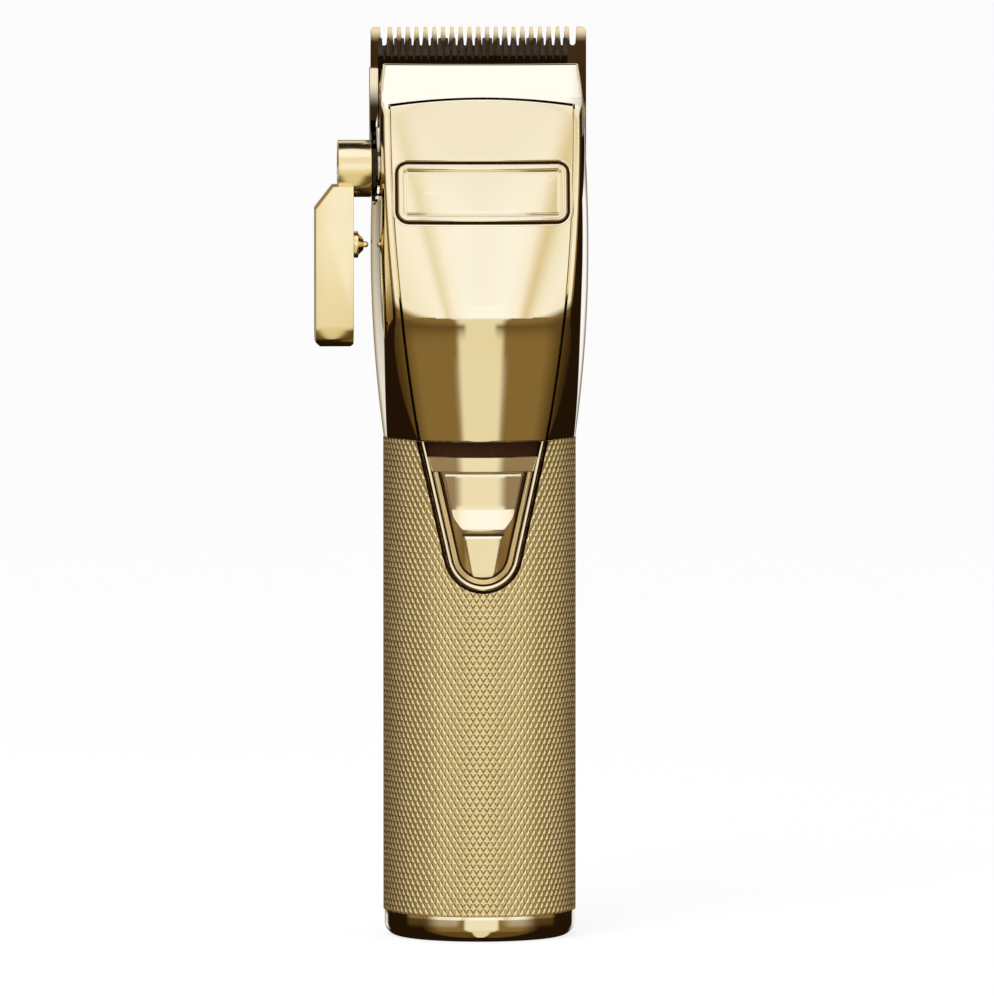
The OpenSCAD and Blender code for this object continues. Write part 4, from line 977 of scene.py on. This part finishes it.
def world_light():
    """A studio of panels, by bearing and elevation, that only reflections see. Other rays see white."""
    world = bpy.data.worlds.new("studio")
    bpy.context.scene.world = world
    world.use_nodes = True
    nodes, links = world.node_tree.nodes, world.node_tree.links
    nodes.clear()

    def math_node(op, a, b=None):
        node = nodes.new("ShaderNodeMath")
        node.operation = op
        for i, value in enumerate((a, b)):
            if value is None:
                continue
            if isinstance(value, (int, float)):
                node.inputs[i].default_value = value
            else:
                links.new(value, node.inputs[i])
        return node.outputs[0]

    def ramp(factor, stops):
        node = nodes.new("ShaderNodeValToRGB")
        elements = node.color_ramp.elements
        while len(elements) < len(stops):
            elements.new(0.5)
        for element, (at, colour) in zip(elements, stops):
            element.position = at
            element.color = (*colour, 1)
        links.new(factor, node.inputs["Fac"])
        return node.outputs["Color"]

    def mix(factor, a, b):
        node = nodes.new("ShaderNodeMix")
        node.data_type = "RGBA"
        for value, slot in ((factor, 0), (a, 6), (b, 7)):
            if isinstance(value, (int, float)):
                node.inputs[slot].default_value = value
            elif isinstance(value, tuple):
                node.inputs[slot].default_value = (*value, 1)
            else:
                links.new(value, node.inputs[slot])
        return node.outputs[2]

    coords = nodes.new("ShaderNodeTexCoord")
    split = nodes.new("ShaderNodeSeparateXYZ")
    links.new(coords.outputs["Generated"], split.inputs[0])
    sx, sy, sz = split.outputs
    bearing = math_node("ARCTAN2", sx, math_node("MULTIPLY", sy, -1))
    round_about = math_node("DIVIDE", bearing, 2 * math.pi)
    turn = math_node("ADD", round_about, 0.5)
    rise = math_node("ADD", math_node("DIVIDE", math_node("ARCSINE", sz), math.pi), 0.5)

    brown, dim, black = (0.236, 0.148, 0.043), (0.109, 0.064, 0.015), (0.016, 0.007, 0.0026)
    strip_top, strip_low = (0.9, 0.84, 0.65), (0.81, 0.74, 0.49)
    white, front_white, side_white = (1.0, 1.0, 0.98), (1.03, 1.045, 1.06), (0.92, 0.88, 0.73)
    cream, seam_line, right_line = (1.0, 0.96, 0.88), (0.84, 0.77, 0.55), (0.74, 0.62, 0.36)
    grey, tan = (0.24, 0.22, 0.17), (0.34, 0.23, 0.08)
    top_white, high_white = (1.1, 1.13, 1.25), (0.92, 0.88, 0.78)

    def round_ramp(front, behind, left=None):
        """Colours by bearing: front and behind are lists of (degrees from the front, colour)."""
        stops = [(-a, c) for a, c in (left or behind)[::-1]] + front + behind
        return ramp(turn, [(0.5 + a / 360, c) for a, c in stops])

    def band(lower, upper, start, end, level=rise):
        """Upper above the end elevation, lower under the start."""
        stops = [(0.5 + start / 180, (0, 0, 0)), (0.5 + end / 180, (1, 1, 1))]
        return mix(ramp(level, stops), lower, upper)

    def strip_between(half, soft, colour, sides, edge):
        """A lit strip in front with darker sides."""
        return [(-62, edge), (-50, sides), (-half - soft, sides), (-half, colour),
                (half, colour), (half + soft, sides), (50, sides), (62, edge)]

    dark_behind = [(76, black), (150, black), (157, white), (165, white), (170, grey)]
    tan_left = [(96, brown), (104, black), (158, black), (163, tan), (176, tan), (178, grey)]
    lamp_front = [(-90, brown), (-70, brown), (-54, side_white), (-40, side_white), (-30, cream),
                  (-26, cream), (-22.5, seam_line), (-17, cream), (-9, front_white),
                  (14, front_white), (25, cream), (30.5, right_line), (36, side_white),
                  (42, cream), (54, side_white), (70, brown), (90, brown)]
    strip = round_ramp(strip_between(19, 3, strip_top, brown, dim), dark_behind)
    all_dark = [(76, black), (180, black)]
    low = round_ramp(strip_between(15, 4, strip_low, brown, dim), all_dark)
    deep = round_ramp(strip_between(10, 3, strip_low, dim, dim), all_dark)
    level = round_ramp(lamp_front, [(96, brown), (104, black)] + dark_behind[1:], tan_left)
    high = round_ramp(lamp_front, [(100, brown), (150, brown), (165, black), (180, black)])

    # at the sides the bright panel reaches lower
    full, none = (1, 1, 1), (0, 0, 0)
    lower = round_ramp([(-32, full), (-20, none), (20, none), (32, full)], [(180, full)])
    side_rise = math_node("ADD", rise, math_node("MULTIPLY", lower, 3 / 180))

    shine = band(black, deep, -82, -76)
    shine = band(shine, low, -30, -20)
    shine = band(shine, strip, -17, -8)
    shine = band(shine, level, -4, 2, side_rise)
    shine = band(shine, high, 10, 16)
    shine = band(shine, mix(0.85, high, high_white), 21, 25)
    top = round_ramp([(-60, top_white), (60, top_white)], [(80, brown), (110, black), (180, black)])
    shine = band(shine, top, 46, 54)
    ray = nodes.new("ShaderNodeLightPath")
    colour = mix(ray.outputs["Is Glossy Ray"], (0.95, 0.95, 0.95), shine)
    colour = mix(ray.outputs["Is Camera Ray"], colour, (1.0, 1.0, 1.0))
    back = nodes.new("ShaderNodeBackground")
    links.new(colour, back.inputs["Color"])
    out = nodes.new("ShaderNodeOutputWorld")
    links.new(back.outputs[0], out.inputs["Surface"])


world_light()


def floor():
    """A pale floor, mostly aglow to the camera, so that it looks white and keeps a faint shadow."""
    size = 12000
    corners = [(-size, -size, 0), (size, -size, 0), (size, size, 0), (-size, size, 0)]
    obj = make_object("floor", corners, [(0, 1, 2, 3)])
    mat, nodes, links = new_material("floor_paint")
    bsdf = nodes["Principled BSDF"]
    bsdf.inputs["Base Color"].default_value = (0.9, 0.9, 0.9, 1)
    bsdf.inputs["Roughness"].default_value = 0.9
    bsdf.inputs["Specular IOR Level"].default_value = 0.1
    glow = nodes.new("ShaderNodeEmission")
    glow.inputs["Strength"].default_value = 1.0
    blend = nodes.new("ShaderNodeMixShader")
    ray = nodes.new("ShaderNodeLightPath")
    share = nodes.new("ShaderNodeMath")
    share.operation = "MULTIPLY"
    share.inputs[1].default_value = 0.8
    links.new(ray.outputs["Is Camera Ray"], share.inputs[0])
    links.new(share.outputs[0], blend.inputs[0])
    links.new(bsdf.outputs[0], blend.inputs[1])
    links.new(glow.outputs[0], blend.inputs[2])
    links.new(blend.outputs[0], nodes["Material Output"].inputs["Surface"])
    obj.data.materials.append(mat)
    obj.visible_glossy = False


floor()


def softbox():
    lamp = bpy.data.lights.new("softbox", "AREA")
    lamp.shape = "RECTANGLE"
    lamp.size, lamp.size_y = 0.5, 0.7
    lamp.energy = 6
    obj = bpy.data.objects.new("softbox", lamp)
    bpy.context.scene.collection.objects.link(obj)
    obj.location = (-0.35, -0.7, 0.75)
    aim = Vector((0, 0, 0.09)) - obj.location
    obj.rotation_euler = aim.to_track_quat("-Z", "Y").to_euler()
    obj.visible_glossy = False


softbox()


# ---- camera, far away and a little above ----

PX_PER_MM, IMAGE_W = 4.78, 994
LENS, SENSOR = 600.0, 36.0
CAMERA_RISE, CAMERA_TURN = math.radians(4), math.radians(-2.4)
# how far the clipper's axis stands left of the picture's middle, and the level looked at
AXIS_LEFT, LOOK_Z = 3.66, 91.4


def camera():
    data = bpy.data.cameras.new("camera")
    data.lens, data.sensor_width = LENS, SENSOR
    data.clip_end = 20
    obj = bpy.data.objects.new("camera", data)
    bpy.context.scene.collection.objects.link(obj)
    look = Vector((AXIS_LEFT * math.cos(CAMERA_TURN), AXIS_LEFT * math.sin(CAMERA_TURN), LOOK_Z)) * MM
    distance = IMAGE_W / PX_PER_MM * MM * LENS / SENSOR
    away = Vector((math.sin(CAMERA_TURN), -math.cos(CAMERA_TURN), math.tan(CAMERA_RISE))).normalized()
    obj.location = look + away * distance
    obj.rotation_euler = (math.pi / 2 - CAMERA_RISE, 0, CAMERA_TURN)
    bpy.context.scene.camera = obj


camera()
bpy.context.scene.view_settings.view_transform = "Standard"
